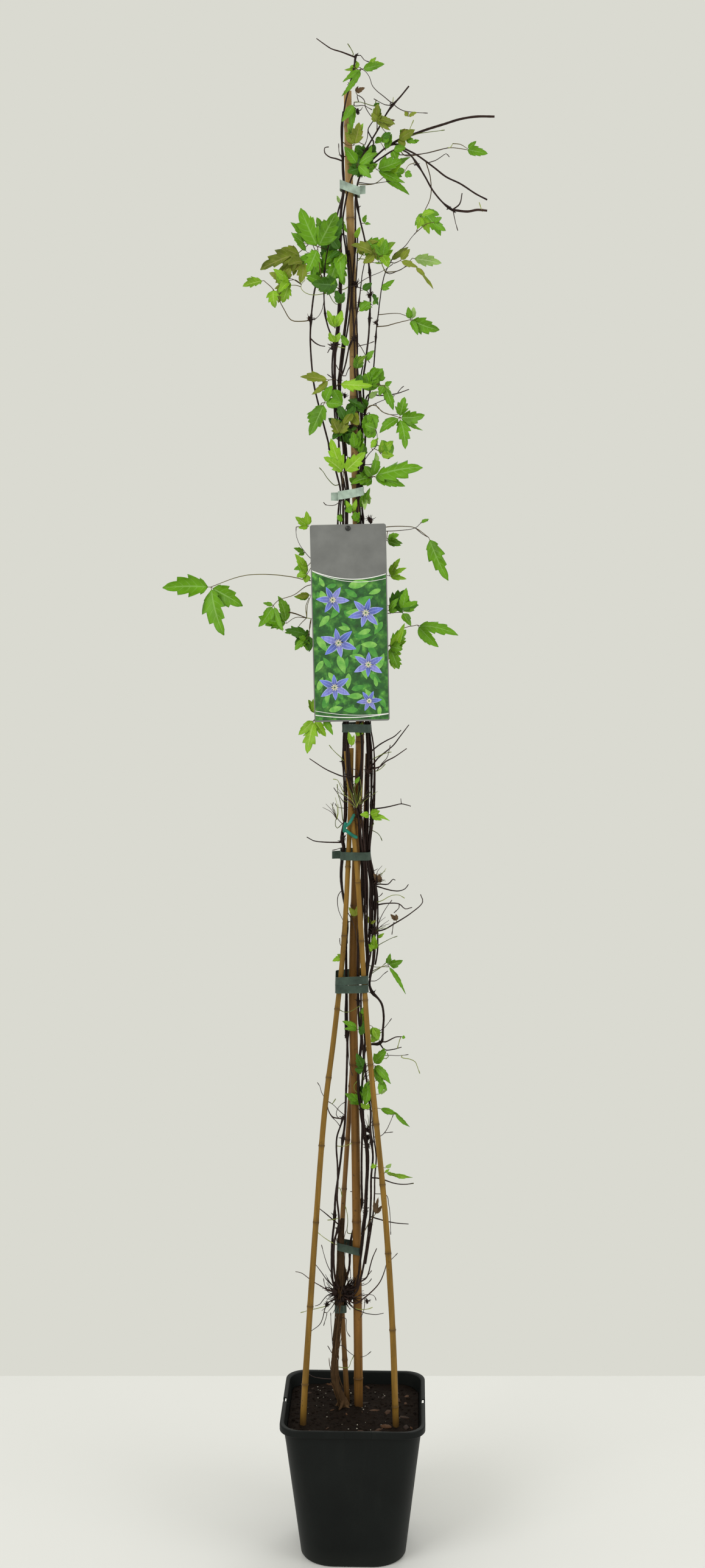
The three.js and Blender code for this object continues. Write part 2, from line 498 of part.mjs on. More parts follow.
const leaves = {
  leaf_01: {
    stem: "stem_leader",
    color: FRESH,
    stalk: [[0, 1915, -8.5], [5, 1911, -15], [9, 1912, -17]],
    blades: [[-14, 1897, 8, -22], [37, 1918, 11, -30], [-15, 1880, 8, -34]],
  },
  leaf_02: {
    stem: "stem_leader",
    color: OLIVE,
    stalk: [[-14.4, 1826, -11], [-8, 1822, -19], [0, 1822, -22]],
    blades: [[6, 1849, 17, -34], [-11, 1838, 8, -30]],
  },
  leaf_03: {
    stem: "stem_front",
    color: FRESH,
    stalk: [[2, 1793, -9.5], [4, 1799, -19]],
    blades: [[-12, 1820, 13, -32], [29, 1813, 15, -30], [21, 1783, 12, -30]],
  },
  leaf_04: {
    stem: "stem_right",
    color: FRESH,
    stalk: [[4.6, 1776, 1.5], [14, 1775, 9], [27, 1777, 18], [36, 1784, 22]],
    blades: [[62, 1793, 22, 28], [68, 1763, 9, 24], [69, 1808, 10, 34]],
  },
  leaf_05: {
    stem: "stem_front",
    color: OLIVE,
    stalk: [[28, 1839, -11.5], [28, 1848, -18], [27, 1854, -20]],
    blades: [[29, 1871, 9, -30], [50, 1847, 10, -34], [44, 1840, 7, -28]],
  },
  leaf_06: {
    stem: "stem_right",
    color: FRESH,
    stalk: [[88, 1803, 10], [94, 1782, 14], [94, 1760, 18], [86, 1742, 20]],
    blades: [[107, 1714, 17, 12], [105, 1739, 11, 30], [75, 1726, 9, 28]],
  },
  leaf_07: {
    stem: "stem_right",
    color: FRESH,
    stalk: [[54, 1822, 2], [62, 1810, 14], [85, 1812, 20], [118, 1819, 26], [137, 1817, 28]],
    blades: [[164, 1812, 15, 22]],
  },
  leaf_08: {
    stem: "stem_leader",
    color: FRESH,
    stalk: [[-37.4, 1650, -17], [-42, 1672, -26], [-45, 1699, -34]],
    blades: [[-66, 1747, 27, -48], [-22, 1742, 26, -46], [-58, 1670, 21, -42]],
  },
  leaf_09: {
    stem: "stem_left",
    color: FRESH,
    stalk: [[-39, 1678], [-46, 1692, -6], [-53, 1707, -12]],
    blades: [[-78, 1730, 12, -20], [-77, 1717, 8, -16]],
  },
  leaf_10: {
    stem: "stem_left",
    color: OLIVE,
    stalk: [[-33, 1695], [-40, 1710, 6], [-50, 1711, 12], [-58, 1702, 18], [-69, 1693, 20]],
    blades: [[-116, 1673, 26, 12], [-97, 1657, 17, 16], [-75, 1666, 12, 22]],
  },
  leaf_11: {
    stem: "stem_left",
    color: BRIGHT,
    stalk: [
      [-53.5, 1612], [-65, 1610.5, -4], [-78, 1612, -8], [-88, 1627, -12], [-100, 1649, -16],
      [-112, 1660, -18],
    ],
    blades: [[-98, 1627, 17, -26, -100.5, 1649.5, -16], [-138, 1653, 16, -24]],
  },
  leaf_12: {
    stem: "stem_leader",
    color: FRESH,
    stalk: [[-16, 1647], [-23, 1653, -10]],
    blades: [[-51, 1655, 20, -8]],
  },
  leaf_13: {
    stem: "stem_leader",
    color: DARK,
    stalk: [[-15.9, 1700], [-17, 1696, -20]],
    blades: [[-15, 1657, 12, -28], [-30, 1687, 9, -26], [-31, 1716, 12, -28]],
  },
  leaf_14: {
    stem: "stem_right",
    color: OLIVE,
    stalk: [[14.6, 1702], [15, 1705, -6]],
    blades: [[28, 1686, 13, -20], [3, 1693, 9, -20], [30, 1707, 6, -16]],
  },
  leaf_15: {
    stem: "stem_right",
    color: BRIGHT,
    stalk: [[38.8, 1670, 0], [34, 1681, -6], [33, 1692, -12]],
    blades: [[36, 1712, 14, -22], [51, 1706, 11, -20], [42, 1676, 14, -24]],
  },
  leaf_16: {
    stem: "stem_right",
    color: PALE,
    stalk: [[38.8, 1670, 0], [52, 1671, 5], [61, 1675, 10], [72, 1687, 14]],
    blades: [[108, 1681, 16, 20]],
  },
  leaf_17: {
    stem: "stem_right",
    color: OLIVE,
    stalk: [[45, 1682, 0], [50, 1681, -7], [57, 1684, -14]],
    blades: [[79, 1676, 9, -20], [98, 1650, 6, -26, 75, 1678, -19.4], [69, 1698, 9, -16]],
  },
  leaf_18: {
    stem: "stem_right",
    color: FRESH,
    stalk: [[28, 1604, 0], [40, 1605, -4], [51, 1608, -10], [70, 1612.5, -14]],
    blades: [[106, 1600, 19, -20], [67, 1628, 9, -24], [79, 1594, 9, -22]],
  },
  leaf_19: {
    stem: "stem_leader",
    color: OLIVE,
    stalk: [[-23.2, 1540], [-31, 1539, -21]],
    blades: [[-67, 1543, 15, -28], [-53, 1521, 9, -30]],
  },
  leaf_20: {
    stem: "stem_leader",
    color: BRIGHT,
    stalk: [[-22.8, 1530], [-20, 1534, -23]],
    blades: [[23, 1532, 18, -34]],
  },
  leaf_21: {
    stem: "stem_right",
    color: FRESH,
    stalk: [[22, 1538, 0], [30, 1533, -6], [38, 1532, -10]],
    blades: [[49, 1502, 13, -20], [31, 1520, 10, -18], [47, 1537, 6, -14]],
  },
  leaf_22: {
    stem: "stem_right",
    color: FRESH,
    stalk: [
      [13.6, 1498], [19, 1507, -6], [28, 1507, -12], [35, 1500, -18], [45, 1496.5, -22],
      [57, 1493, -24],
    ],
    blades: [
      [63, 1518, 17, -32], [88, 1496, 18, -34], [86, 1477, 6, -20], [64, 1454, 19, -38],
      [32, 1474, 14, -36],
    ],
  },
  leaf_23: {
    stem: "stem_left",
    color: FRESH,
    stalk: [[-42.5, 1502], [-41, 1510, -10], [-37, 1511, -24]],
    blades: [[-56, 1471, 22, -34], [-14, 1509, 13, -38], [-27, 1532, 14, -34]],
  },
  leaf_24: {
    stem: "stem_right",
    color: FRESH,
    stalk: [[13.7, 1485], [16, 1497, -6], [19, 1499, -12]],
    blades: [[28, 1479, 15, -24], [14, 1470, 14, -22]],
  },
  leaf_25: {
    stem: "stem_leader",
    color: BRIGHT,
    stalk: [[-14.3, 1409], [-14, 1417, -22], [-13, 1425, -27]],
    blades: [[-29, 1467, 20, -38], [-38, 1444, 17, -36], [14, 1450, 21, -40]],
  },
  leaf_26: {
    stem: "stem_right",
    color: FRESH,
    stalk: [[11, 1414], [17, 1418, -6], [24, 1420, -12]],
    blades: [[86, 1431, 30, -28], [64, 1408, 15, -22]],
  },
  leaf_27: {
    stem: "stem_left",
    color: FRESH,
    stalk: [
      [-18.9, 1292], [-57, 1290, 8], [-75, 1294, 14], [-97, 1297, 20], [-115, 1298, 24],
      [-134, 1297, 26], [-150, 1293.5, 28], [-181, 1282, 28],
    ],
    blades: [[-242, 1281, 30, 20], [-141, 1258, 27, 16], [-165, 1221, 30, 14]],
  },
  leaf_28: {
    stem: "stem_left",
    color: FRESH,
    stalk: [
      [-18.5, 1272], [-40, 1283, -4], [-58, 1284, -10], [-76, 1272, -14], [-96, 1265, -16],
      [-102, 1259, -16],
    ],
    blades: [[-115, 1262, 6, -18], [-121, 1232, 14, -26], [-90, 1226, 9, -28]],
  },
  leaf_29: {
    stem: "stem_right",
    color: FRESH,
    stalk: [[12.4, 1350], [40, 1357, 4], [63, 1358, 8], [77, 1356, 12], [94, 1344, 14]],
    blades: [[119, 1290, 22, 4]],
  },
  leaf_30: {
    stem: "stem_right",
    color: FRESH,
    stalk: [[16.6, 1245], [45, 1249, -4], [61, 1250, -8]],
    blades: [[66, 1281, 14, -18], [80, 1264, 15, -20], [72, 1233, 11, -20]],
  },
  leaf_31: {
    stem: "stem_right",
    color: FRESH,
    stalk: [[17.5, 1198], [46, 1209, 8], [53, 1220, 12], [62, 1229.5, 16], [80, 1234, 20]],
    blades: [[132, 1221, 18, 12], [107, 1206, 15, 10]],
  },
  leaf_32: {
    stem: "stem_left",
    color: BRIGHT,
    stalk: [[-15, 1150], [-38, 1130, 6], [-51, 1113, 8]],
    blades: [[-71, 1094, 13, 6], [-60, 1070, 21, -6], [-36, 1092, 13, 2]],
  },
  leaf_33: {
    stem: "stem_right",
    color: BRIGHT,
    stalk: [[21.7, 990], [20, 991, -12]],
    blades: [[8, 991, 9, -24], [33, 996, 10, -26], [46, 983, 5, -26]],
  },
  leaf_34: {
    stem: "stem_right",
    color: FRESH,
    stalk: [[22.8, 785], [28, 788, 1], [35, 791, 0], [44, 794, -2]],
    blades: [[47, 809, 8, -14], [63, 800, 12, -12], [67, 755, 6, -12]],
  },
  leaf_35: {
    stem: "stem_leader",
    color: FRESH,
    stalk: [[15, 650, -9.5], [22, 657, -10], [28, 658, -10]],
    blades: [[48, 635, 8, -20], [38, 635, 11, -24]],
  },
  leaf_36: {
    stem: "stem_leader",
    color: FRESH,
    stalk: [[22, 597, -9.5], [27, 602, -11], [33, 602, -12]],
    blades: [[58, 594, 9, -18], [73, 577, 6, -24, 53, 596, -17.4]],
  },
  dry_leaf: {
    stem: "stem_front",
    color: DRY,
    stalk: [[13, 433, -4], [15, 437, -12], [20.8, 448, -14], [28, 458, -14]],
    blades: [[26, 478, 5, -11], [32, 481, 6, -16], [37, 470, 6, -12]],
  },
};

function blade(hub, [tipX, tipZ, width, tipDepth, baseX, baseZ, baseDepth]) {
  const root = baseX === undefined ? hub : seen(baseX, baseZ, baseDepth);
  const along = seen(tipX, tipZ, tipDepth).sub(root);
  const length = along.length();
  along.normalize();
  const towardsEye = new THREE.Vector3(0, -1, 0.15);
  const side = new THREE.Vector3().crossVectors(along, towardsEye).normalize();
  const up = new THREE.Vector3().crossVectors(side, along).normalize();
  const stations = BLADE_WIDTHS.length - 1;
  const sheet = new THREE.BoxGeometry(2, 1, BLADE_THICKNESS, 2, stations, 1);
  const position = sheet.attributes.position;
  for (let i = 0; i < position.count; i += 1) {
    const across = position.getX(i);
    const share = position.getY(i) + 0.5;
    const half = 0.5 * width * BLADE_WIDTHS[Math.round(share * stations)];
    const fold = BLADE_FOLD * half * Math.abs(across);
    const arch = BLADE_ARCH * length * share * (1 - share);
    const point = root.clone();
    point.addScaledVector(along, share * length);
    point.addScaledVector(side, across * half);
    point.addScaledVector(up, position.getZ(i) + fold + arch);
    position.setXYZ(i, point.x, point.y, point.z);
  }
  return closed(sheet);
}

function makeLeaf({ stem, stalk, blades }) {
  const points = course(stalk, stems[stem].lane);
  const hub = points[points.length - 1];
  const body = joined([tube(points, STALK_RADIUS, 4), ...blades.map((outline) => blade(hub, outline))]);
  return body.subtract(stemRooms[stem]);
}

// Tapes: each a band or two round all that it holds, rising across the plant by a share of the
// width, some with a loose end that stands out to the side

const tapes = {
  tie_1: {
    color: 0x9fb0a4,
    bands: [{ left: -17.6, right: 7.2, front: -17.4, back: 6.8, corner: 4, height: 1769, rise: -0.35 }],
    ends: [{ from: 6.8, to: 14, depth: 2, height: 1769, rise: 0.1 }],
  },
  tie_2: {
    color: 0x93a89c,
    bands: [{ left: -20.2, right: 12.2, front: -17, back: 8.6, corner: 4, height: 1399, rise: 0.18 }],
    ends: [{ from: -29, to: -19.8, depth: -4, height: 1395, rise: 0 }],
  },
  tie_3: {
    color: 0x34453a,
    bands: [{ left: -15.3, right: 21.6, front: -17.8, back: 10.6, corner: 5, height: 1104, rise: 0 }],
    ends: [],
  },
  tie_4: {
    color: 0x2f3d34,
    bands: [{ left: -17.8, right: 21.2, front: -18.6, back: 17.6, corner: 6, height: 940, rise: 0 }],
    ends: [{ from: -28, to: -17.4, depth: -6, height: 940, rise: 0 }],
  },
  tie_5: {
    color: 0x35443b,
    bands: [
      { left: -24, right: 18.4, front: -26, back: 20.2, corner: 4, height: 773, rise: 0.3 },
      { left: -24, right: 18.4, front: -26, back: 20.2, corner: 4, height: 773, rise: -0.3 },
    ],
    ends: [],
  },
  tie_6: {
    color: 0x2f3d34,
    bands: [{ left: -22.6, right: 10.3, front: -1.9, back: 20.8, corner: 4, height: 410, rise: -0.22 }],
    ends: [],
  },
  tie_7: {
    color: 0x232b26,
    bands: [{ left: -25.8, right: -9.9, front: -1.9, back: 20.5, corner: 4, height: 327, rise: 0 }],
    ends: [],
  },
};

function roundedSlot(left, right, front, back, corner) {
  const shape = new THREE.Shape();
  shape.moveTo(left + corner, front);
  shape.absarc(right - corner, front + corner, corner, -Math.PI / 2, 0);
  shape.absarc(right - corner, back - corner, corner, 0, Math.PI / 2);
  shape.absarc(left + corner, back - corner, corner, Math.PI / 2, Math.PI);
  shape.absarc(left + corner, front + corner, corner, Math.PI, 1.5 * Math.PI);
  return shape;
}

function tilted(geometry, middle, height, rise) {
  const position = geometry.attributes.position;
  for (let i = 0; i < position.count; i += 1) {
    position.setZ(i, position.getZ(i) + height + rise * (position.getX(i) - middle));
  }
  return closed(geometry);
}

function makeBand({ left, right, front, back, corner, height, rise }) {
  const t = TAPE_THICKNESS;
  const ring = roundedSlot(left, right, front, back, corner);
  ring.holes.push(roundedSlot(left + t, right - t, front + t, back - t, corner - t));
  const options = { depth: TAPE_HEIGHT, bevelEnabled: false, curveSegments: 2 };
  const band = new THREE.ExtrudeGeometry(ring, options);
  band.translate(0, 0, -TAPE_HEIGHT / 2);
  return tilted(band, (left + right) / 2, height, rise);
}

function makeEnd({ from, to, depth, height, rise }) {
  const strip = new THREE.BoxGeometry(to - from, TAPE_THICKNESS, TAPE_HEIGHT);
  strip.translate((from + to) / 2, depth, 0);
  return tilted(strip, (from + to) / 2, height, rise);
}

// The label card, hung by its hole, and the peg that clips it to the tall cane

const labelMiddle = seen(-5.2, 1236, LABEL_DEPTH);
const holeRise = LABEL_HEIGHT / 2 - PEG_DROP;
const pegPlace = new THREE.Vector3(-holeRise * LABEL_LEAN, 0, holeRise).add(labelMiddle);

function makeLabel() {
  const w = LABEL_WIDTH / 2;
  const h = LABEL_HEIGHT / 2;
  const card = roundedSlot(-w, w, -h, h, LABEL_CORNER);
  const hole = new THREE.Path();
  hole.absarc(0, holeRise, PEG_RADIUS + GAP, 0, 2 * Math.PI);
  card.holes.push(hole);
  const options = { depth: LABEL_THICKNESS, bevelEnabled: false, curveSegments: 5 };
  const plate = new THREE.ExtrudeGeometry(card, options);
  plate.rotateX(Math.PI / 2);
  plate.rotateY(-LABEL_LEAN);
  plate.translate(labelMiddle.x, labelMiddle.y, labelMiddle.z);
  return closed(plate);
}

function makePeg() {
  const held = atHeight(canes.cane_tall.path, pegPlace.z);
  const ring = new THREE.Shape();
  ring.absarc(held.x, held.y, PEG_BORE + PEG_COLLAR, 0, 2 * Math.PI);
  const bore = new THREE.Path();
  bore.absarc(held.x, held.y, PEG_BORE, 0, 2 * Math.PI);
  ring.holes.push(bore);
  const collarHeight = 5;
  const options = { depth: collarHeight, bevelEnabled: false, curveSegments: 7 };
  const collar = new THREE.ExtrudeGeometry(ring, options);
  collar.translate(0, 0, pegPlace.z - collarHeight / 2);
  const headThickness = 1.2;
  const headBack = pegPlace.y - LABEL_THICKNESS - GAP;
  const head = new THREE.CylinderGeometry(PEG_HEAD_RADIUS, PEG_HEAD_RADIUS, headThickness, 12);
  head.translate(pegPlace.x, headBack - headThickness / 2, pegPlace.z);
  const start = new THREE.Vector3(pegPlace.x, headBack - headThickness / 2, pegPlace.z);
  const behind = new THREE.Vector3(pegPlace.x, pegPlace.y + 3, pegPlace.z);
  const end = new THREE.Vector3(held.x, held.y, pegPlace.z).sub(behind);
  end.setLength(end.length() - PEG_BORE - PEG_COLLAR / 2).add(behind);
  return joined([closed(collar), closed(head), tube([start, behind, end], PEG_RADIUS, 8)]);
}

// The teal plant tie: a turn of soft cord round the short canes' tops, knotted in front

function makePlantTie() {
  const turn = course([[-12, 972, -17.4], [-6, 967, -19], [0, 963, -18.6], [4.4, 961, -17.9]]);
  const tail = course([[-12, 975, -17.4], [-6, 980, -18.8], [-3, 985, -18.8], [0.4, 992, -18]]);
  const knot = course([[-12.6, 968, -17], [-12.2, 975, -18], [-10.5, 981, -18.4]]);
  return joined([tube(turn, 1.9, 6, 2), tube(tail, 1.7, 6, 2), tube(knot, 2.1, 6, 2)]);
}

// Assembly

const plant = new THREE.Group();

function add(name, body, color, roughness) {
  const { vertProperties, triVerts } = body.getMesh();
  const geometry = new THREE.BufferGeometry();
  geometry.setAttribute("position", new THREE.BufferAttribute(vertProperties, 3));
  geometry.setIndex(new THREE.BufferAttribute(triVerts, 1));
  geometry.computeVertexNormals();
  const material = new THREE.MeshStandardMaterial({ color, roughness, metalness: 0 });
  const mesh = new THREE.Mesh(geometry, material);
  mesh.name = name;
  plant.add(mesh);
}

const crownRoom = makeCrown(GAP);
const stemRooms = {};
for (const [name, spec] of Object.entries(stems)) stemRooms[name] = makeStem(spec, GAP);

add("pot", makePot(), 0x1d2022, 0.5);
let soil = squareTurned(soilProfile).subtract(crownRoom);
for (const [name, spec] of Object.entries(canes)) {
  soil = soil.subtract(cane(spec, GAP));
  add(name, cane(spec), spec.color, 0.55);
}
add("soil", soil, 0x2a1e17, 0.95);
add("crown", makeCrown(), 0x4a3323, 0.85);
for (const [name, spec] of Object.entries(stems)) {
  add(name, makeStem(spec).subtract(crownRoom), 0x241a17, 0.6);
}
for (const [name, spec] of Object.entries(leaves)) add(name, makeLeaf(spec), spec.color, 0.6);
for (const [name, { color, bands, ends }] of Object.entries(tapes)) {
  add(name, joined([...bands.map(makeBand), ...ends.map(makeEnd)]), color, 0.6);
}
add("label", makeLabel(), 0x6f6f6d, 0.45);
add("label_peg", makePeg(), 0x151515, 0.5);
add("plant_tie", makePlantTie(), 0x1f7f70, 0.5);

export default plant;
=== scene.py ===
"""A climbing clematis in its square nursery pot, tied to four bamboo canes, with its picture label."""

import random
from math import atan2, cos, hypot, pi, radians, sin, sqrt, tau

import bmesh
import bpy
from bpy.props import FloatProperty, FloatVectorProperty, IntProperty, PointerProperty
from mathutils import Matrix, Vector, noise


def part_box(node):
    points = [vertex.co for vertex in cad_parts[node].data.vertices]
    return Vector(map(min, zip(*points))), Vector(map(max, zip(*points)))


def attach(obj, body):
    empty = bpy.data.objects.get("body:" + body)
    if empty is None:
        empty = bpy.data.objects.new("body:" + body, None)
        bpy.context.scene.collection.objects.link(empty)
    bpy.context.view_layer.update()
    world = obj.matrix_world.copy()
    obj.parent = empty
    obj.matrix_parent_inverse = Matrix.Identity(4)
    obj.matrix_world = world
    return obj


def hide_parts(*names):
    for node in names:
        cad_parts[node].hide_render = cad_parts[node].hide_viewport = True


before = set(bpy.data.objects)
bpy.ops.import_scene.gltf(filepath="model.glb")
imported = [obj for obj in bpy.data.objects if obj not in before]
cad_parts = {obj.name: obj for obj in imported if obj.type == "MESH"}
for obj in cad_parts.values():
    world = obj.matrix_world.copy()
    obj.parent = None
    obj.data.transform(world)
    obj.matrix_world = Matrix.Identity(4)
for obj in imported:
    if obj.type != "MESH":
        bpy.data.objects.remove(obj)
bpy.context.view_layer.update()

bl_info = {
    "name": "Potted climbing clematis",
    "version": (1, 0, 0),
    "blender": (4, 5, 0),
    "location": "View3D > Sidebar > Clematis",
    "description": "Builds a climbing clematis on bamboo canes in a square nursery pot",
    "category": "Add Mesh",
}

MM = 0.001

# In metres: how near two points lie that are welded into one, and how far apart the points are of a
# smooth line and of a living stalk
WELD = 1e-6
LINE_STEP = 0.003
STALK_STEP = 0.004

# The eye, in mm, and its lens: x and z say where a place is seen from it in the plane y = 0, and the
# place's depth y carries it nearer or farther along the sight line
EYE = Vector((-2, -2537, 1374))
EYE_PITCH = 0.1345
FOCAL_PIXELS = 3284
PHOTO_HEIGHT_PIXELS = 2576


def seen(x, z, depth=0.0):
    """The place, in metres, that is seen at x and z and lies at the given depth, all in mm."""
    share = (depth - EYE.y) / -EYE.y
    return (EYE + (Vector((x, 0, z)) - EYE) * share) * MM


def table_rows(text):
    """The rows of a text table."""
    return text.strip().splitlines()


def row_points(text):
    """The points of a row, in mm: x and z where seen, then the depth, left out where it stays."""
    points = []
    for point in text.split():
        spot = [float(number) for number in point.split(",")]
        if points and len(spot) == 2:
            spot += points[-1][2:]
        points.append(spot)
    return points


def course(text):
    """The places of a row of points."""
    return [seen(*point) for point in row_points(text)]


def courses(text):
    """The places of each row of a text table."""
    return [course(row) for row in table_rows(text)]


# The vines: the heights of their nodes, the heights between which thinner strands run beside them,
# and their courses, first the vine's own and then its branches

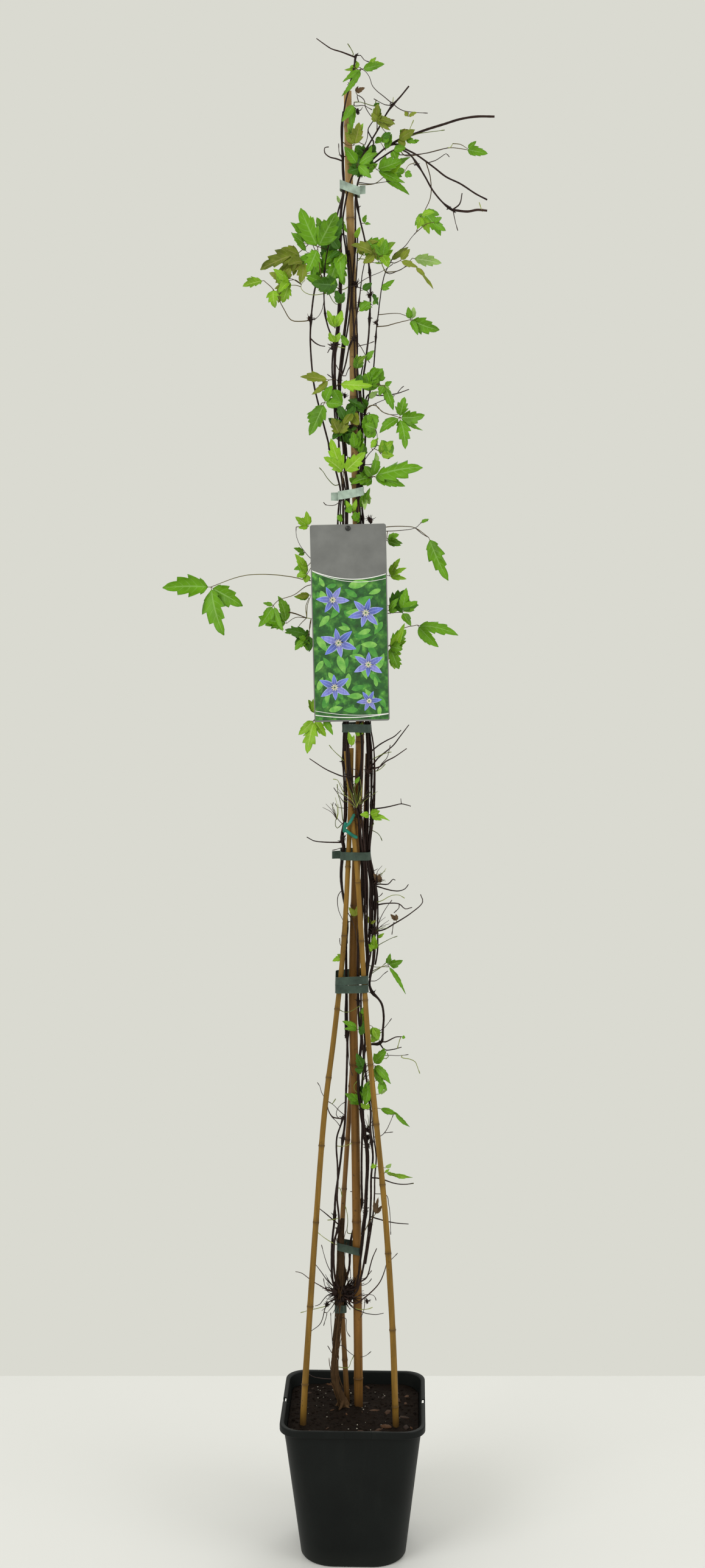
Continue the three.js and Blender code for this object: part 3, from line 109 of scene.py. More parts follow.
STEMS = {
    "stem_left": {
        "nodes": [455, 560, 700, 850, 955, 1060, 1200, 1300, 1455, 1612],
        "strands": [(690, 1160), (820, 1400)],
        "courses": """
-20,354,0 -27,362 -29.5,402 -28,430 -26,448 -24.6,480 -21,508 -17.8,531 -15,558 -12.2,580 -10.6,620 \
-9.3,660 -8.8,700 -9.2,740 -9.8,790 -10,820 -9.6,846 -11.2,868 -15,889 -17.3,910 -16,934 -14,950 \
-16.3,962.5 -12.4,986 -12.6,1030 -14,1060 -13.5,1085 -13,1104 -15,1150 -17,1200 -19,1300 -20.5,1363 \
-19,1385 -17,1401 -21,1420 -28,1445 -33,1465 -38,1484 -44.5,1509 -50,1533 -53,1560 -54.5,1590 -53.5,1612 \
-51.5,1632 -49,1648 -44.5,1664 -39,1678 -33,1695 -26,1718 -20,1742 -14.5,1762 -13.5,1774
-16,955,0 -28.4,955 -40.4,955.5 -51.6,957 -60.8,962
-54.5,1590,0 -48,1584,-4 -42,1581,-7 -36,1580,-8
""",
    },
    "stem_short": {
        "nodes": [440, 590],
        "strands": [],
        "courses": """
-18,354,-3 -24,366,-5 -26.6,385 -26.8,408 -25.4,424 -20.5,440 -20,455 -22.3,479 -21.5,502 -21.7,525 \
-23.2,549 -22.3,564 -17.2,580 -13.6,592
-15,588,-5 -28,590.5 -33,598 -35,606
-20.4,444,-5 -29.6,452 -37.4,459 -46,466
""",
    },
    "stem_front": {
        "nodes": [460, 600, 745, 890, 1040, 1160, 1340, 1440, 1538, 1690, 1812, 1867],
        "strands": [(400, 790), (430, 960), (760, 1420), (880, 1400), (1380, 1720), (1440, 1700)],
        "courses": """
-12,354,-2 1,355,-4 5,368 8.8,398 12,425 15.6,460 17.2,495 18.6,540,-5 15.2,566 11.3,595 6.8,630 6,660 \
9.2,696,-6 6.6,716 5.4,745 4.6,790 6,830 9.4,860 11.4,890 10.6,917 9,945 7,985,-9.5 6.5,1005 9,1040 \
11,1075 9.5,1104 6,1160 0,1240 -8.5,1340 -8.5,1363 -8.5,1400 -12,1430 -14,1460 -17,1480 -19.5,1505 \
-19,1538 -15.5,1575 -10.5,1614 -7.4,1640 -6.5,1660 -9,1690 -12.5,1712 -14,1732 -11,1752 -7.6,1768 \
-3,1783 5,1798 12,1812 20,1826 30,1842,-12 37,1855,-14 45,1867,-16 57,1880,-18 67,1892,-20
9,1040,-9.5 3,1040.5,-18 -4,1040,-22.5 -14,1040.5,-23 -26,1045,-21 -37.4,1050.5,-18 -57,1063.5,-16
-19,1538,-9.5 -14.4,1547,-12.5 -10.8,1558,-13.5 -5.8,1580 -1.5,1590 2,1611,-13 5.8,1633,-12.5 8,1650,-12 \
10,1667,-10 13,1682,-7
12,1812,-9.5 24,1824,-12 20,1833,-14 17,1840 24,1852,-13
""",
    },
    "stem_leader": {
        "nodes": [446, 560, 662, 795, 935, 1045, 1200, 1320, 1409, 1520, 1580, 1712, 1807, 1890, 1926],
        "strands": [(390, 640), (780, 1390), (800, 1180), (860, 1440), (1400, 1780), (1480, 1860)],
        "courses": """
-14,347,-2 -5,345,-8 3,351,-9.5 7.2,364 10.8,378 15,402 17.5,420 20.5,446 22.3,480 22.5,508 24.8,537 \
22.6,560 21.4,578 22,597 19.7,613 16.5,640 13.4,662 11.6,685 9.6,716 9,742 9.6,762 14,778 16.4,795 \
16,812 14.4,835 14,860 14.4,890 13.6,915,-11 12.4,935,-14 9.5,955,-18.5 7.6,975,-19 5,992 0,1008 \
-5,1026,-18.5 -8.2,1045,-18 -9.3,1065,-17 -9.6,1085,-16 -9.6,1106,-15 -10,1200 -12.4,1320 -13.4,1363 \
-13.6,1402 -16.6,1430 -19,1462 -21,1492 -22.4,1520 -23.6,1548 -22.6,1575 -20,1590 -17.6,1614 -16.2,1640 \
-15.4,1680 -16.4,1712 -15.6,1742 -12.4,1768 -12.4,1784,-13 -13.6,1803,-12 -14.5,1830,-11 -13.6,1852,-10 \
-11,1871,-9 -6,1890,-8.5 -1,1910 2,1928
-22.6,1575,-15 -27,1590,-17 -32.5,1604 -36,1620 -37.5,1645 -37,1665,-16 -35.5,1682,-15 -32,1700,-14 \
-27,1720,-12 -24,1737,-11
1,1926,-8.5 -15,1932,-12 -28,1936,-16 -36,1941,-18 -46,1948,-20
-13.6,1803,-12 -22,1806 -30,1808 -36,1813 -36,1819 -31,1820
22.5,508,-9.5 33,507,-8 54.4,500,-7 67.9,499 78.5,500.5
21,455,-9.5 32,451.5,-9 46.6,447.5,-8 59,445.5 72,444.5
7.2,364,-9.5 16.7,371,-12 22,389 24.7,398.5 30,411
""",
    },
    "stem_inner": {
        "nodes": [472, 600, 700, 815, 930, 1040, 1180, 1368, 1480, 1590, 1700, 1797, 1744],
        "strands": [(700, 1130), (760, 1240), (830, 1450), (1390, 1720), (1400, 1600)],
        "courses": """
-14,358,4 -6.5,384,3 -5.4,402,5 -4.5,420,17 0,440,20 6,455,18 10.2,472,10 10,500,2 10,540,1 10.8,575,0 \
10.2,600 10.4,630 12.5,660 14.5,695 15.2,730 14.2,756 14.6,784 19,815 21.2,852 21.4,880 21.4,905 \
17.6,930 14.4,945 14,975 15,1000 16,1040 17,1075 15.6,1104 13.6,1180 10,1280,-2 6.5,1345,-6 4.5,1368,-8 \
3.4,1400,-7 6,1440,-6 6.2,1480 4,1520 1,1547 0.7,1580 -1,1612 -2.6,1636 -1,1670 1.4,1700 1.6,1730 \
1.4,1755 3,1770,-5 8,1786,-4.5 20,1797 35,1808 52,1817,-5 66,1813,-8 78,1799,-12 87,1785,-14 97,1768,-16 \
110,1753,-18 122,1744
121,1745,-18 140,1743,-20 152,1745,-22 164,1744,-24
121,1745,-18 130,1752 133,1765
""",
    },
    "stem_right": {
        "nodes": [690, 757, 838, 874, 900, 1003, 1050, 1250, 1368, 1495, 1614, 1670, 1748, 1821],
        "strands": [(770, 1110), (790, 1120), (880, 1420), (930, 1380), (1120, 1420), (1400, 1560)],
        "courses": """
13,676,7 17,684,6 23,688.5,4 30,688.5,3 36,692,2 37.6,708,1.5 38.6,726 36,742 30.8,750 24,757 20.4,766 \
21,777 24.7,794 26.7,812 26.4,842 26.9,870 26.8,886 25.4,899 23.2,915 19.6,932 18.4,943 19,957 20.6,974 \
22,998 22,1045 22,1073 20.6,1090 18.8,1105 18.4,1150 16.5,1250 13,1340 11,1368 9.6,1400 12,1425 \
13.8,1460 13.6,1495 11.6,1522 11.6,1543 13.7,1557 15.8,1574 18,1592 19.2,1614 20.2,1640 20,1661 \
18.4,1678 15.4,1698 11.8,1715 7.8,1731 4.4,1748 3,1764 5.5,1781 14,1795 27,1809 42,1821 52,1823 \
63,1817.5,4 76,1811,8 88,1803,10 99,1795,12 113,1784.5,14 131,1776,16 150,1764,18 164,1757
13.6,1495,1.5 17,1512,0 21,1530 24.3,1554 28,1604 29.6,1616 31.6,1633 35,1656 38.8,1670 45,1682 50,1692
42,1821,1.5 56,1829,3 70,1834,8 90,1841,12 110,1847,14 130,1853,16 150,1856 172,1856
22,1053,1.5 31,1064.5,3 42,1073.5 50.5,1081 58,1091 70,1107
22,1073,1.5 32.7,1081.5,-1 42,1087 51.4,1092 60,1100
22,1050,1.5 32.7,1053,-3 41,1060,-4 51.4,1065.5 67.3,1076.5
22,998,1.5 40,1000.5,1 51.4,1003 60.7,1005 72.9,1002
26.9,872,1.5 36.5,874.5,1 58,874.5 66,868 75,870
26.4,838,1.5 39.4,841,3 50.5,847.5 73.7,862.5 88.5,877 85.7,887
25.4,899,1.5 31.5,900.5,-3 44,900.5,-4 50.5,907 53.3,905.5
25.4,899,1.5 41,894,4 49.5,892 58,891.5 66,894.5 70,900
36,692,2 41,691.5,-2 54.5,698,-3 62,698.5
33,690,2.5 40,681,4 49,681 62,684.5
13,1510,1.5 18,1521,6 32,1520,7 52,1522 68.5,1527.5
""",
    },
}

# The leaves: a name and a hue; the stalk, from the vine to the hub; and each leaflet's tip (x and z),
# width and depth, then its root where that isn't the hub

LEAVES = """
leaf_01 fresh; 0,1915,-8.5 5,1911,-15 9,1912,-17; -14,1897,8,-22 37,1918,11,-30 -15,1880,8,-34
leaf_02 olive; -14.4,1826,-11 -8,1822,-19 0,1822,-22; 6,1849,17,-34 -11,1838,8,-30
leaf_03 fresh; 2,1793,-9.5 4,1799,-19; -12,1820,13,-32 29,1813,15,-30 21,1783,12,-30
leaf_04 fresh; 4.6,1776,1.5 14,1775,9 27,1777,18 36,1784,22; 62,1793,22,28 68,1763,9,24 69,1808,10,34
leaf_05 olive; 28,1839,-11.5 28,1848,-18 27,1854,-20; 29,1871,9,-30 50,1847,10,-34 44,1840,7,-28
leaf_06 fresh; 88,1803,10 94,1782,14 94,1760,18 86,1742,20; 107,1714,17,12 105,1739,11,30 75,1726,9,28
leaf_07 fresh; 54,1822,2 62,1810,14 85,1812,20 118,1819,26 137,1817,28; 164,1812,15,22
leaf_08 fresh; -37.4,1650,-17 -42,1672,-26 -45,1699,-34; -66,1747,27,-48 -22,1742,26,-46 -58,1670,21,-42
leaf_09 fresh; -39,1678,0 -46,1692,-6 -53,1707,-12; -78,1730,12,-20 -77,1717,8,-16
leaf_10 olive; -33,1695,0 -40,1710,6 -50,1711,12 -58,1702,18 -69,1693,20; -116,1673,26,12 -97,1657,17,16 \
-75,1666,12,22
leaf_11 bright; -53.5,1612,0 -65,1610.5,-4 -78,1612,-8 -88,1627,-12 -100,1649,-16 -112,1660,-18; \
-98,1627,17,-26,-100.5,1649.5,-16 -138,1653,16,-24
leaf_12 fresh; -16,1647,-15 -23,1653,-10; -51,1655,20,-8
leaf_13 dark; -15.9,1700,-15 -17,1696,-20; -15,1657,12,-28 -30,1687,9,-26 -31,1716,12,-28
leaf_14 olive; 14.6,1702,1.5 15,1705,-6; 28,1686,13,-20 3,1693,9,-20 30,1707,6,-16
leaf_15 bright; 38.8,1670,0 34,1681,-6 33,1692,-12; 36,1712,14,-22 51,1706,11,-20 42,1676,14,-24
leaf_16 pale; 38.8,1670,0 52,1671,5 61,1675,10 72,1687,14; 108,1681,16,20
leaf_17 olive; 45,1682,0 50,1681,-7 57,1684,-14; 79,1676,9,-20 98,1650,6,-26,75,1678,-19.4 69,1698,9,-16
leaf_18 fresh; 28,1604,0 40,1605,-4 51,1608,-10 70,1612.5,-14; 106,1600,19,-20 67,1628,9,-24 \
79,1594,9,-22
leaf_19 olive; -23.2,1540,-15 -31,1539,-21; -67,1543,15,-28 -53,1521,9,-30
leaf_20 bright; -22.8,1530,-15 -20,1534,-23; 23,1532,18,-34
leaf_21 fresh; 22,1538,0 30,1533,-6 38,1532,-10; 49,1502,13,-20 31,1520,10,-18 47,1537,6,-14
leaf_22 fresh; 13.6,1498,1.5 19,1507,-6 28,1507,-12 35,1500,-18 45,1496.5,-22 57,1493,-24; \
63,1518,17,-32 88,1496,18,-34 86,1477,6,-20 64,1454,19,-38 32,1474,14,-36
leaf_23 fresh; -42.5,1502,0 -41,1510,-10 -37,1511,-24; -56,1471,22,-34 -14,1509,13,-38 -27,1532,14,-34
leaf_24 fresh; 13.7,1485,1.5 16,1497,-6 19,1499,-12; 28,1479,15,-24 14,1470,14,-22
leaf_25 bright; -14.3,1409,-15 -14,1417,-22 -13,1425,-27; -29,1467,20,-38 -38,1444,17,-36 14,1450,21,-40
leaf_26 fresh; 11,1414,1.5 17,1418,-6 24,1420,-12; 86,1431,30,-28 64,1408,15,-22
leaf_27 fresh; -18.9,1292,0 -57,1290,8 -75,1294,14 -97,1297,20 -115,1298,24 -134,1297,26 -150,1293.5,28 \
-181,1282; -242,1281,30,20 -141,1258,27,16 -165,1221,30,14
leaf_28 fresh; -18.5,1272,0 -40,1283,-4 -58,1284,-10 -76,1272,-14 -96,1265,-16 -102,1259; \
-115,1262,6,-18 -121,1232,14,-26 -90,1226,9,-28
leaf_29 fresh; 12.4,1350,1.5 40,1357,4 63,1358,8 77,1356,12 94,1344,14; 119,1290,22,4
leaf_30 fresh; 16.6,1245,1.5 45,1249,-4 61,1250,-8; 66,1281,14,-18 80,1264,15,-20 72,1233,11,-20
leaf_31 fresh; 17.5,1198,1.5 46,1209,8 53,1220,12 62,1229.5,16 80,1234,20; 132,1221,18,12 107,1206,15,10
leaf_32 bright; -15,1150,0 -38,1130,6 -51,1113,8; -71,1094,13,6 -60,1070,21,-6 -36,1092,13,2
leaf_33 bright; 21.7,990,1.5 20,991,-12; 8,991,9,-24 33,996,10,-26 46,983,5,-26
leaf_34 fresh; 22.8,785,1.5 28,788,1 35,791,0 44,794,-2; 47,809,8,-14 63,800,12,-12 67,755,6,-12
leaf_35 fresh; 15,650,-9.5 22,657,-10 28,658; 48,635,8,-20 38,635,11,-24
leaf_36 fresh; 22,597,-9.5 27,602,-11 33,602,-12; 58,594,9,-18 73,577,6,-24,53,596,-17.4
dry_leaf dry; 13,433,-4 15,437,-12 20.8,448,-14 28,458; 26,478,5,-11 32,481,6,-16 37,470,6,-12
"""

# Old leaf stalks and tendrils, as x and z where seen: each starts at the vine nearest to an end

OLD_STALKS = {
    "low": """
-2,344 15.4,347 23.4,347 27.4,344.5 29.3,339
-0.5,328 8.8,326.5 18,327 24.7,329.5
14.7,342 14,333.5 12.7,324 8.8,315.5
8.8,369 14,369.5 19.4,375 23.4,380.5
11.4,360 19.4,364 23.4,369.5
-28.4,373 -35,387.5 -39,400 -43,416
-35,353 -39,361 -40.4,369.5
-37.7,331 -47,328.5 -57.6,326 -71,322
-36.4,322 -40.4,304
50.6,397 54,400.5 57.6,404.5
-7,246 -4.5,253 0,262.5
-15,276 -8.5,269 -0.5,262.5 6,260 15.4,262 22.7,268
-31,229.5 -44.4,230.5 -55,233 -62.3,238
-28.4,265 -35,276
-31,322 -30.4,306 -29,285 -28.4,267
-11,314 -10.5,303 -9,294.5 -5,288.5
-12.5,358 -11.8,370 -12.5,388 -11.8,408
-4.5,358 -4.5,371 -5.2,384 -6.5,405
-15.6,482 -19,494
-11.6,469 -9.4,461 -8.3,449 -8.3,432
-48,433 -39.6,426 -30.7,420 -23,416
-35,450 -26,451 -19,454
42.7,484 45.5,473 47.7,455 48.3,438 48.5,430
8.5,478 3,485 -0.4,488.5 -5,489
41,505 54.4,500 67.9,499 78.5,500
-21.7,551 -12.8,551 -7,553 -2.7,555
35.4,565 42,572 47.7,584 51.6,594
40,569 51,570
-34,611.5 -27.3,607 -19.5,599 -10.5,591
-28.5,608.5 -24,615
-9.4,611.5 -16,608 -21.7,601 -23.4,594 -20.6,589.5 -15,587
-29.6,591 -22.8,584 -18.4,578
-48,637 -44.7,632 -42.6,624 -35,612
""",
    "middle": """
5,640 0,633 1,627 5,622
-2,646 -3.6,652 -6.2,663 -7.4,678 -7.7,694 -6.7,709
39,674 48,673.5 57.6,673 71,674.5
38,670 42,669 45,672 43,676.5
61.7,671 74,668 80,664.5 83,657 86,649
56.5,682.5 58.6,691 61,698.5
31,704 40,711 49,723
20,772.5 26.7,772.5 33,776 38,781.5 44,786
21.6,781.5 27.7,786 35,791 42,797.5
20,793 28.8,791 37,791.5 46,791.5
-18.5,734 -14.4,732 -10,731 -4,732.5 2,736 9.2,741
27.3,817 34.7,822 42,826 47.7,829 56,832
29.6,838 32,850 37.5,862.5 44,873 49,879.5
58.4,874 58,869.5 51.4,862.5
51.4,850.5 50,842 49,834
28.2,876.5 36.5,879 44,883.5 50.5,886 58,886 65.3,882
28.2,884 33,884.5 37,889
24,917 30.5,920.5
-9,864.5 -5.2,858 -1.5,849.5 1.3,840 3.2,829 4,819
-10.8,868 -9.4,857 -9,838 -9.8,819 -10.8,800
-28,944.5 -22,946 -14.5,948
-16.8,891 -20.5,885.5 -21.4,876 -20,866.5 -16.3,857 -12.6,850.5
-18.6,829.5 -18.2,822 -16.3,818.5
24.5,970 30,967 33.8,962.5 36,957
22,1061.5 28,1065 33.6,1068 41,1070.5 47.6,1072
27,1047 33.6,1050 40,1056.5
29,1047.5 35.5,1057 42,1064.5 44.8,1074 46.2,1081
60.7,1005 60,1012
10.3,1007.5 16,1014 21.5,1021.5 25,1030 27,1039.5
-13,1060.5 -16.8,1065 -23.4,1071 -29.4,1077.5 -31.8,1081
-9.3,1050 -1,1050 3.7,1047.5 6,1041
-10.3,1017 -14,1021 -17.8,1029 -21.5,1036 -27,1037
-8.4,1000 -14,1008 -20.6,1017.5 -26,1026
-14,983 -15.9,998.5 -17.8,1008 -20.6,1019 -21.5,1030.5
-8.4,998 -14,999.5 -21.5,1001 -24.3,1005.5
-15,979.5 -20.6,985 -25.2,993 -27.6,1001.5 -26.6,1007
-15,979.5 -21.5,973.5 -23.4,975.5 -23.8,983 -21.5,987.5
19.6,985 24.3,983 25.2,979 22.4,975.5 17.8,975.5
""",
    "top": """
-16,1228 -35,1238 -60,1243
-73,1357 -73,1348 -69,1336 -62,1326 -56,1319 -40,1308 -20,1300
77,1356 84,1362 93,1365
77,1356 86.6,1348 93.5,1344.5
-10.5,1393 -18,1388.5 -24,1384.5 -31,1384 -36,1385 -38.5,1388
-24,1409 -34,1418.5 -38.5,1425.5 -43.6,1431
27,1478 28.7,1472 29,1465.5 28.7,1459 25,1454.5 18.6,1448 10,1435
12,1434.5 18.6,1434.5 24,1436
54.5,1523.5 58.4,1528.5 62,1531.5
50.6,1520 41,1516 30,1511.5 21,1507 15,1503.5
28,1507 33,1502 39,1498 45.5,1496.5 53,1496.5 61,1500
-33.5,1546 -26,1540
-24,1560 -19.5,1552 -14,1544
-4.4,1556 -8.3,1550 -10.5,1544
-50,1612 -44,1617 -40,1624 -38,1632 -37,1640 -38,1660 -41,1667
-24,1580 -33,1583
-24,1580 -31,1576 -33,1572
-24,1580 -17,1579 -11,1578
2,1587 8,1580 13.7,1570 18,1562 19.5,1560
-8,1652 2,1654 10.8,1660 22.3,1666 32.4,1670 39.6,1674 48,1680
3.6,1652 13.7,1649 19.4,1643
-10.8,1650 -18,1648 -29.5,1645 -41,1643.5 -49.6,1642.5 -58,1644 -64,1648 -66,1652.5 -64,1657.5 -61,1660 \
-61,1667 -55,1669
-13.7,1642 -18,1633.5 -21,1631 -25,1633.5 -29.5,1640.5 -33.8,1650.5 -36,1659 -36.7,1664.5
36.7,1674 33,1683 29.5,1691
44,1668 52.5,1671 61,1675 68,1679
25,1586 16.5,1583 8,1581 4,1580
3.6,1687 16.5,1685 22,1682 28,1681 35,1681.5
5,1684 13.7,1697 19.4,1702
77,1718.5 71,1712 62.6,1701 50,1692
-1,1930 -4,1936 -8,1942
4,1928 8,1928 12,1923 19,1920
8,1913 14,1909 19,1902 22,1893 27,1887 36,1880 45,1873
-15,1807 -18,1812 -19,1824
47,1869 48,1879
47,1869 38,1870 24,1877
50,1869 60,1863 75,1861 90,1860
73,1852 68,1840 66,1826
158,1743 154,1754
122,1744 125,1730 128,1720
50,1812 85,1812 100,1815 115,1819
118,1819 121,1824
90,1801 100,1804 108,1809 113,1812 117,1808
5,1778 20,1776 35,1778 45,1779
0,1873 8,1873 15,1871 25,1869
0,1869 12,1869 18,1866 22,1864
17,1840 16,1830 13,1822
4,1881 12,1876 14,1867 22,1855 30,1848 38,1838 45,1833
50,1825 60,1830 80,1836 95,1838 111,1840
""",
}

# The smaller leaves, which have no solid of their own: a hue, and for each leaf of that hue the x and
# z where its hub is seen, and how far right and up of it each leaflet's tip is, with its width

# The dark hue's leaves at about x -32 to 8 and z 1457 to 1510 mm fill a shadowed tangle: their dark green
# is painted shade
SMALL_LEAVES = {
    "low": """
bright: 24,712 8,-18,11 1,-14,9
fresh: 25,662 17,17,13; 27,660 20,-24,11 9,-26,11 15,-9,8; 19,641 -5,-35,15 4,-21,10; 10,608 -21,14,11
pale: 33,621.5 10,5.5,5
bright: 13,711 -3.5,27,8; 40,515 6.6,5,4 37,-7,7; 22,521 8,5,5 4,7,4
pale: 41,521 8,6,6
bright: 17,600 -8,9,8 2,9,6
fresh: 11,611 -23,11,10 -17,-2,7 -3,14,8
dark: 14,612 10,28,16 -4,22,12 8,8,10; 13,655 -10,21,13 -12,0,11
fresh: 36,640 -3,-19,9 7,-14,7; 29,662 11,21,12 -3,14,9
bright: 26,690 7,19,10 -3,11,8
fresh: 62,698.5 4.8,-1.5,5
dark: 11,700 2,19,8 -5,12,7
fresh: 5,708 -20,11,9 -18,1,6; 10,728 3,11,5
""",
    "middle": """
bright: -59,1298.5 -15.5,25,12 -8,10.5,10 -13.5,-3.5,11 -2.5,-11,11
dark: -56.5,1221.5 -31,6.5,15 -18.5,-13,17 -7,0,15 -0.5,-21.5,12
fresh: -85.5,1236 -10.5,34.5,15 -35.5,8.5,19 -24.5,4,23
pale: -105,1246.5 15.5,-18.5,14
fresh: 41.5,1342.5 15,5.5,10 19.5,-6,8
dark: 43.5,1258.5 24,19,24 38,0.5,21 12,-5,19
fresh: 45.5,1207.5 20.5,20.5,19 16,-4.5,17 11.5,-29.5,19
olive: -54.5,1272 -20,-2.5,9
bright: -12,804 -16,-5,8 -10,4,6
fresh: -19,778 -4,-18,6
bright: 26,812 -12,10,12 0,22,10; 30,829 9,7,5
olive: 21,848 7,5,4 -6,12,6; 2,857 -9,13,8 2,15,6
dry: 34,902 -9,12,8 -2,12,6; 55,852 -8,9,6 -1,9,5
bright: 21,990 9,8,9 15,-6,6
fresh: 1,1031 6,9,5
bright: -3,1079 -4,19,7 3,15,6; 5,1091 5,19,9 -2,13,6; -50,1121 -8,18,9 -2,19,6
fresh: -40,1113 12,-9,9 13,-19,8; -60,1216 -15,-14,11 1,-15,9 -10,3,8; -74,1226 -14,-2,6 -6,7,5; \
-57,1268 -19,2,8; -60,1307 -16,-3,9 -8,7,7; -62,1325 -14,6,7 -8,-3,6
bright: -57,1358 -17,12,10 -3,19,10 -13,-2,8
pale: -98,1246 6,-19,8
fresh: 84,1363 10,4,5; 41,1340 18,-6,9 15,7,6
bright: 44,1296 22,-4,8 14,22,10 22,10,8
fresh: 43,1252 13,16,9 12,0,7
bright: 46,1198 18,38,12 20,16,12 14,0,8; 45,1192 7,-14,9 16,-8,8
""",
    "upper": """
fresh: 9,1380 11,26,9 3,22,8; -15,1363 -6,9,6; 2,1363 5,13,7 -3,11,6
bright: -2,1375 -8,15,8 5,17,7
fresh: 8,1410 -14,8,11 5,20,8; 12,1410 11,18,9; 2,1453 6,25,11 -5,17,9
dark: -14,1480 -18,12,14 -13,-14,13 8,-21,14 18,0,12; -10,1488 -12,22,13 12,20,14
pale: 29,1437 -2,13,6
bright: 33,1448 16,16,13 17,-2,10 2,17,8
fresh: 22,1455 7,12,7
pale: 18,1516 12,9,8
bright: 1,1557 14,12,8 3,13,6
fresh: 14,1562 11,13,9; 15,1537 21,16,12 13,1,9; -7,1580 -9,14,9
bright: -24,1584 -7,13,9 7,13,8; -24,1602 -9,22,11 9,22,11 0,16,9
dark: -17,1631 -6,17,11 5,15,7
fresh: -38,1657 -21,9,11 -12,11,8
bright: -50,1713 -12,27,11 -4,25,9; -80,1660 -20,14,12 -14,-15,11 -4,-13,8
fresh: 5,1622 16,12,9; 23,1630 7,10,6
dark: 10,1648 12,9,9
fresh: 33,1650 17,11,8 11,0,6
pale: 72,1613 2,15,8 7,-5,7
bright: 30,1682 18,15,11 -3,22,10 0,-2,12
olive: 12,1690 -8,13,10 14,10,12
fresh: -40,1680 18,17,15 -18,6,15 -6,-16,14; -38,1712 12,26,14 -8,24,14
bright: -20,1672 10,20,12 8,-8,10
dark: -33,1700 18.5,36.5,15
fresh: -41,1668.5 -11.5,29.5,14 14.5,23.5,16; -18.5,1697.5 4,-39.5,15 -10.5,-18.5,11; -18.5,1650.5 \
-40.5,12,16
olive: -62.5,1683 -4,-26,17 -19,-4,15
bright: -80,1654 -9,-21,16 -16,14.5,14
fresh: -21.5,1738.5 13.5,-21,9; -58,1694 -19.5,24,8; -49,1712.5 -29.5,17.5,10
olive: 26,1692 -29.5,11,17 -15,-11,12
fresh: 35,1689 4.5,21,12 -10.5,14,8; 12.5,1728.5 2.5,10.5,6 8,-0.5,4
bright: 1.5,1710 6,14.5,7
fresh: 22.5,1627.5 -18.5,3.5,13
dark: 23,1645.5 7,-15.5,6
fresh: 17,1544.5 19,6.5,13 11,-9,10
dark: 0.5,1513 -7.5,-19,12 11,-14.5,12
olive: -2,1500 -11,-15.5,15 8,-16.5,14
fresh: -26.5,1528.5 -10.5,-9.5,14 11.5,-19,14; -45,1502.5 -7.5,-19,19
pale: -18.5,1753 -2.5,9,4
dark: 16.5,1503.5 -10,15.5,13 -24,11,14
fresh: 27.5,1479 -14,5,20 -12,-10.5,14; 6.5,1447.5 2,28,16 8,10.5,14
bright: 28,1466.5 -7,-11,8 1.5,-1.5,5
fresh: 48.5,1444.5 -14.5,20.5,14 -11.5,3.5,11; 23.5,1419 -26.5,-8,18 -16,-8.5,14 4.5,28.5,12 -11,14,13
olive: -18.5,1472 -9.5,20,18 11.5,17.5,16
dark: -10.5,1461.5 -6,17.5,16 7.5,14,13
fresh: 19,1524 -5.5,23,18 10.5,23.5,14; 3,1552 5.5,16.5,14 -1,10.5,9
pale: 32,1534 9,-14,15; 13.5,1399 6,-13.5,10 0,-20.5,8
fresh: -8.5,1383 4.5,-8.5,11 -3,8,8; 4,1364.5 -3,12,11 3,0.5,7; -16.5,1364 -0.5,9.5,10
dark: 5,1534.5 3.5,11.5,11 -5.5,5.5,7
fresh: 0.5,1454.5 -2,21,13 4.5,10.5,11
dark: -37.5,1681 13,48,24
fresh: -46.5,1687.5 -26,-5,14 -6,-24.5,16
olive: -65.5,1689 -24.5,10,15; -86,1661.5 7.5,13,14 -19,8,11 -8,-28.5,17
fresh: -20.5,1687.5 8,-33,19 -16,-44,18
dark: -17.5,1654.5 -35,2,22
fresh: 8.5,1700.5 31.5,8,17 21.5,-14.5,16
olive: 45,1684 22,16.5,9
fresh: 24,1537 11,16,15 -7.5,11,14 7,-6,14; -61.5,1704.5 -15,12.5,10 -5,24.5,10; 27.5,1793 31,11,22 \
35,-15.5,12
dark: 14.5,1797 -18.5,-7.5,22 9,12,14
olive: 53.5,1828 21,12.5,12 9,-7,12
fresh: 38.5,1816 7.5,19.5,10
""",
    "top": """
dark: 18.5,1807 -16.5,14.5,16 7,15.5,15
fresh: 33,1824.5 10,11.5,13 -5,7.5,10; 47.5,1816 4.5,-10.5,13 16,3,11
olive: 28.5,1849 -7,11,11 20.5,-1.5,12 4,16.5,10
fresh: 62.5,1830 -6,10.5,11 13.5,-5.5,8
dark: 6.5,1794.5 -14.5,-4.5,16 -3.5,12.5,20
bright: 18,1917 9,9,6 19,1,8; 6,1914 -4,8,5 -11,1,5 -18,-3,5
olive: 66,1856 11,5,6 -4,6,5
fresh: 139,1818 11,9,6; 0,1871 -15,-21,10 -4,-37,8
bright: 2,1826 -10,22,11 9,22,10
fresh: 8,1790 -19,22,12 -6,32,12 14,32,12 21,10,12
olive: 10,1795 -18,5,10 8,17,11
dark: 24,1868 7,4,5
dry: 2,1884 11,6,7 3,8,4
fresh: 27,1855 3,15,8 -3,11,6
dry: 33,1848 17,4,7 12,-4,6
dark: 34,1830 11,7,8
olive: 56,1836 12,4,8 4,-4,5
fresh: 66,1824 3,10,6; 71,1825 9,3,5
bright: 40,1788 18,12,15 -4,14,12 16,-8,12
fresh: 62,1790 9,-5,9
bright: 82,1738 -4,-16,10 11,-22,12 17,4,10
fresh: 98,1730 15,-10,10 10,6,8
""",
}


# Meshes: grids that are shaped point by point, tubes rolled up from them, and spun profiles


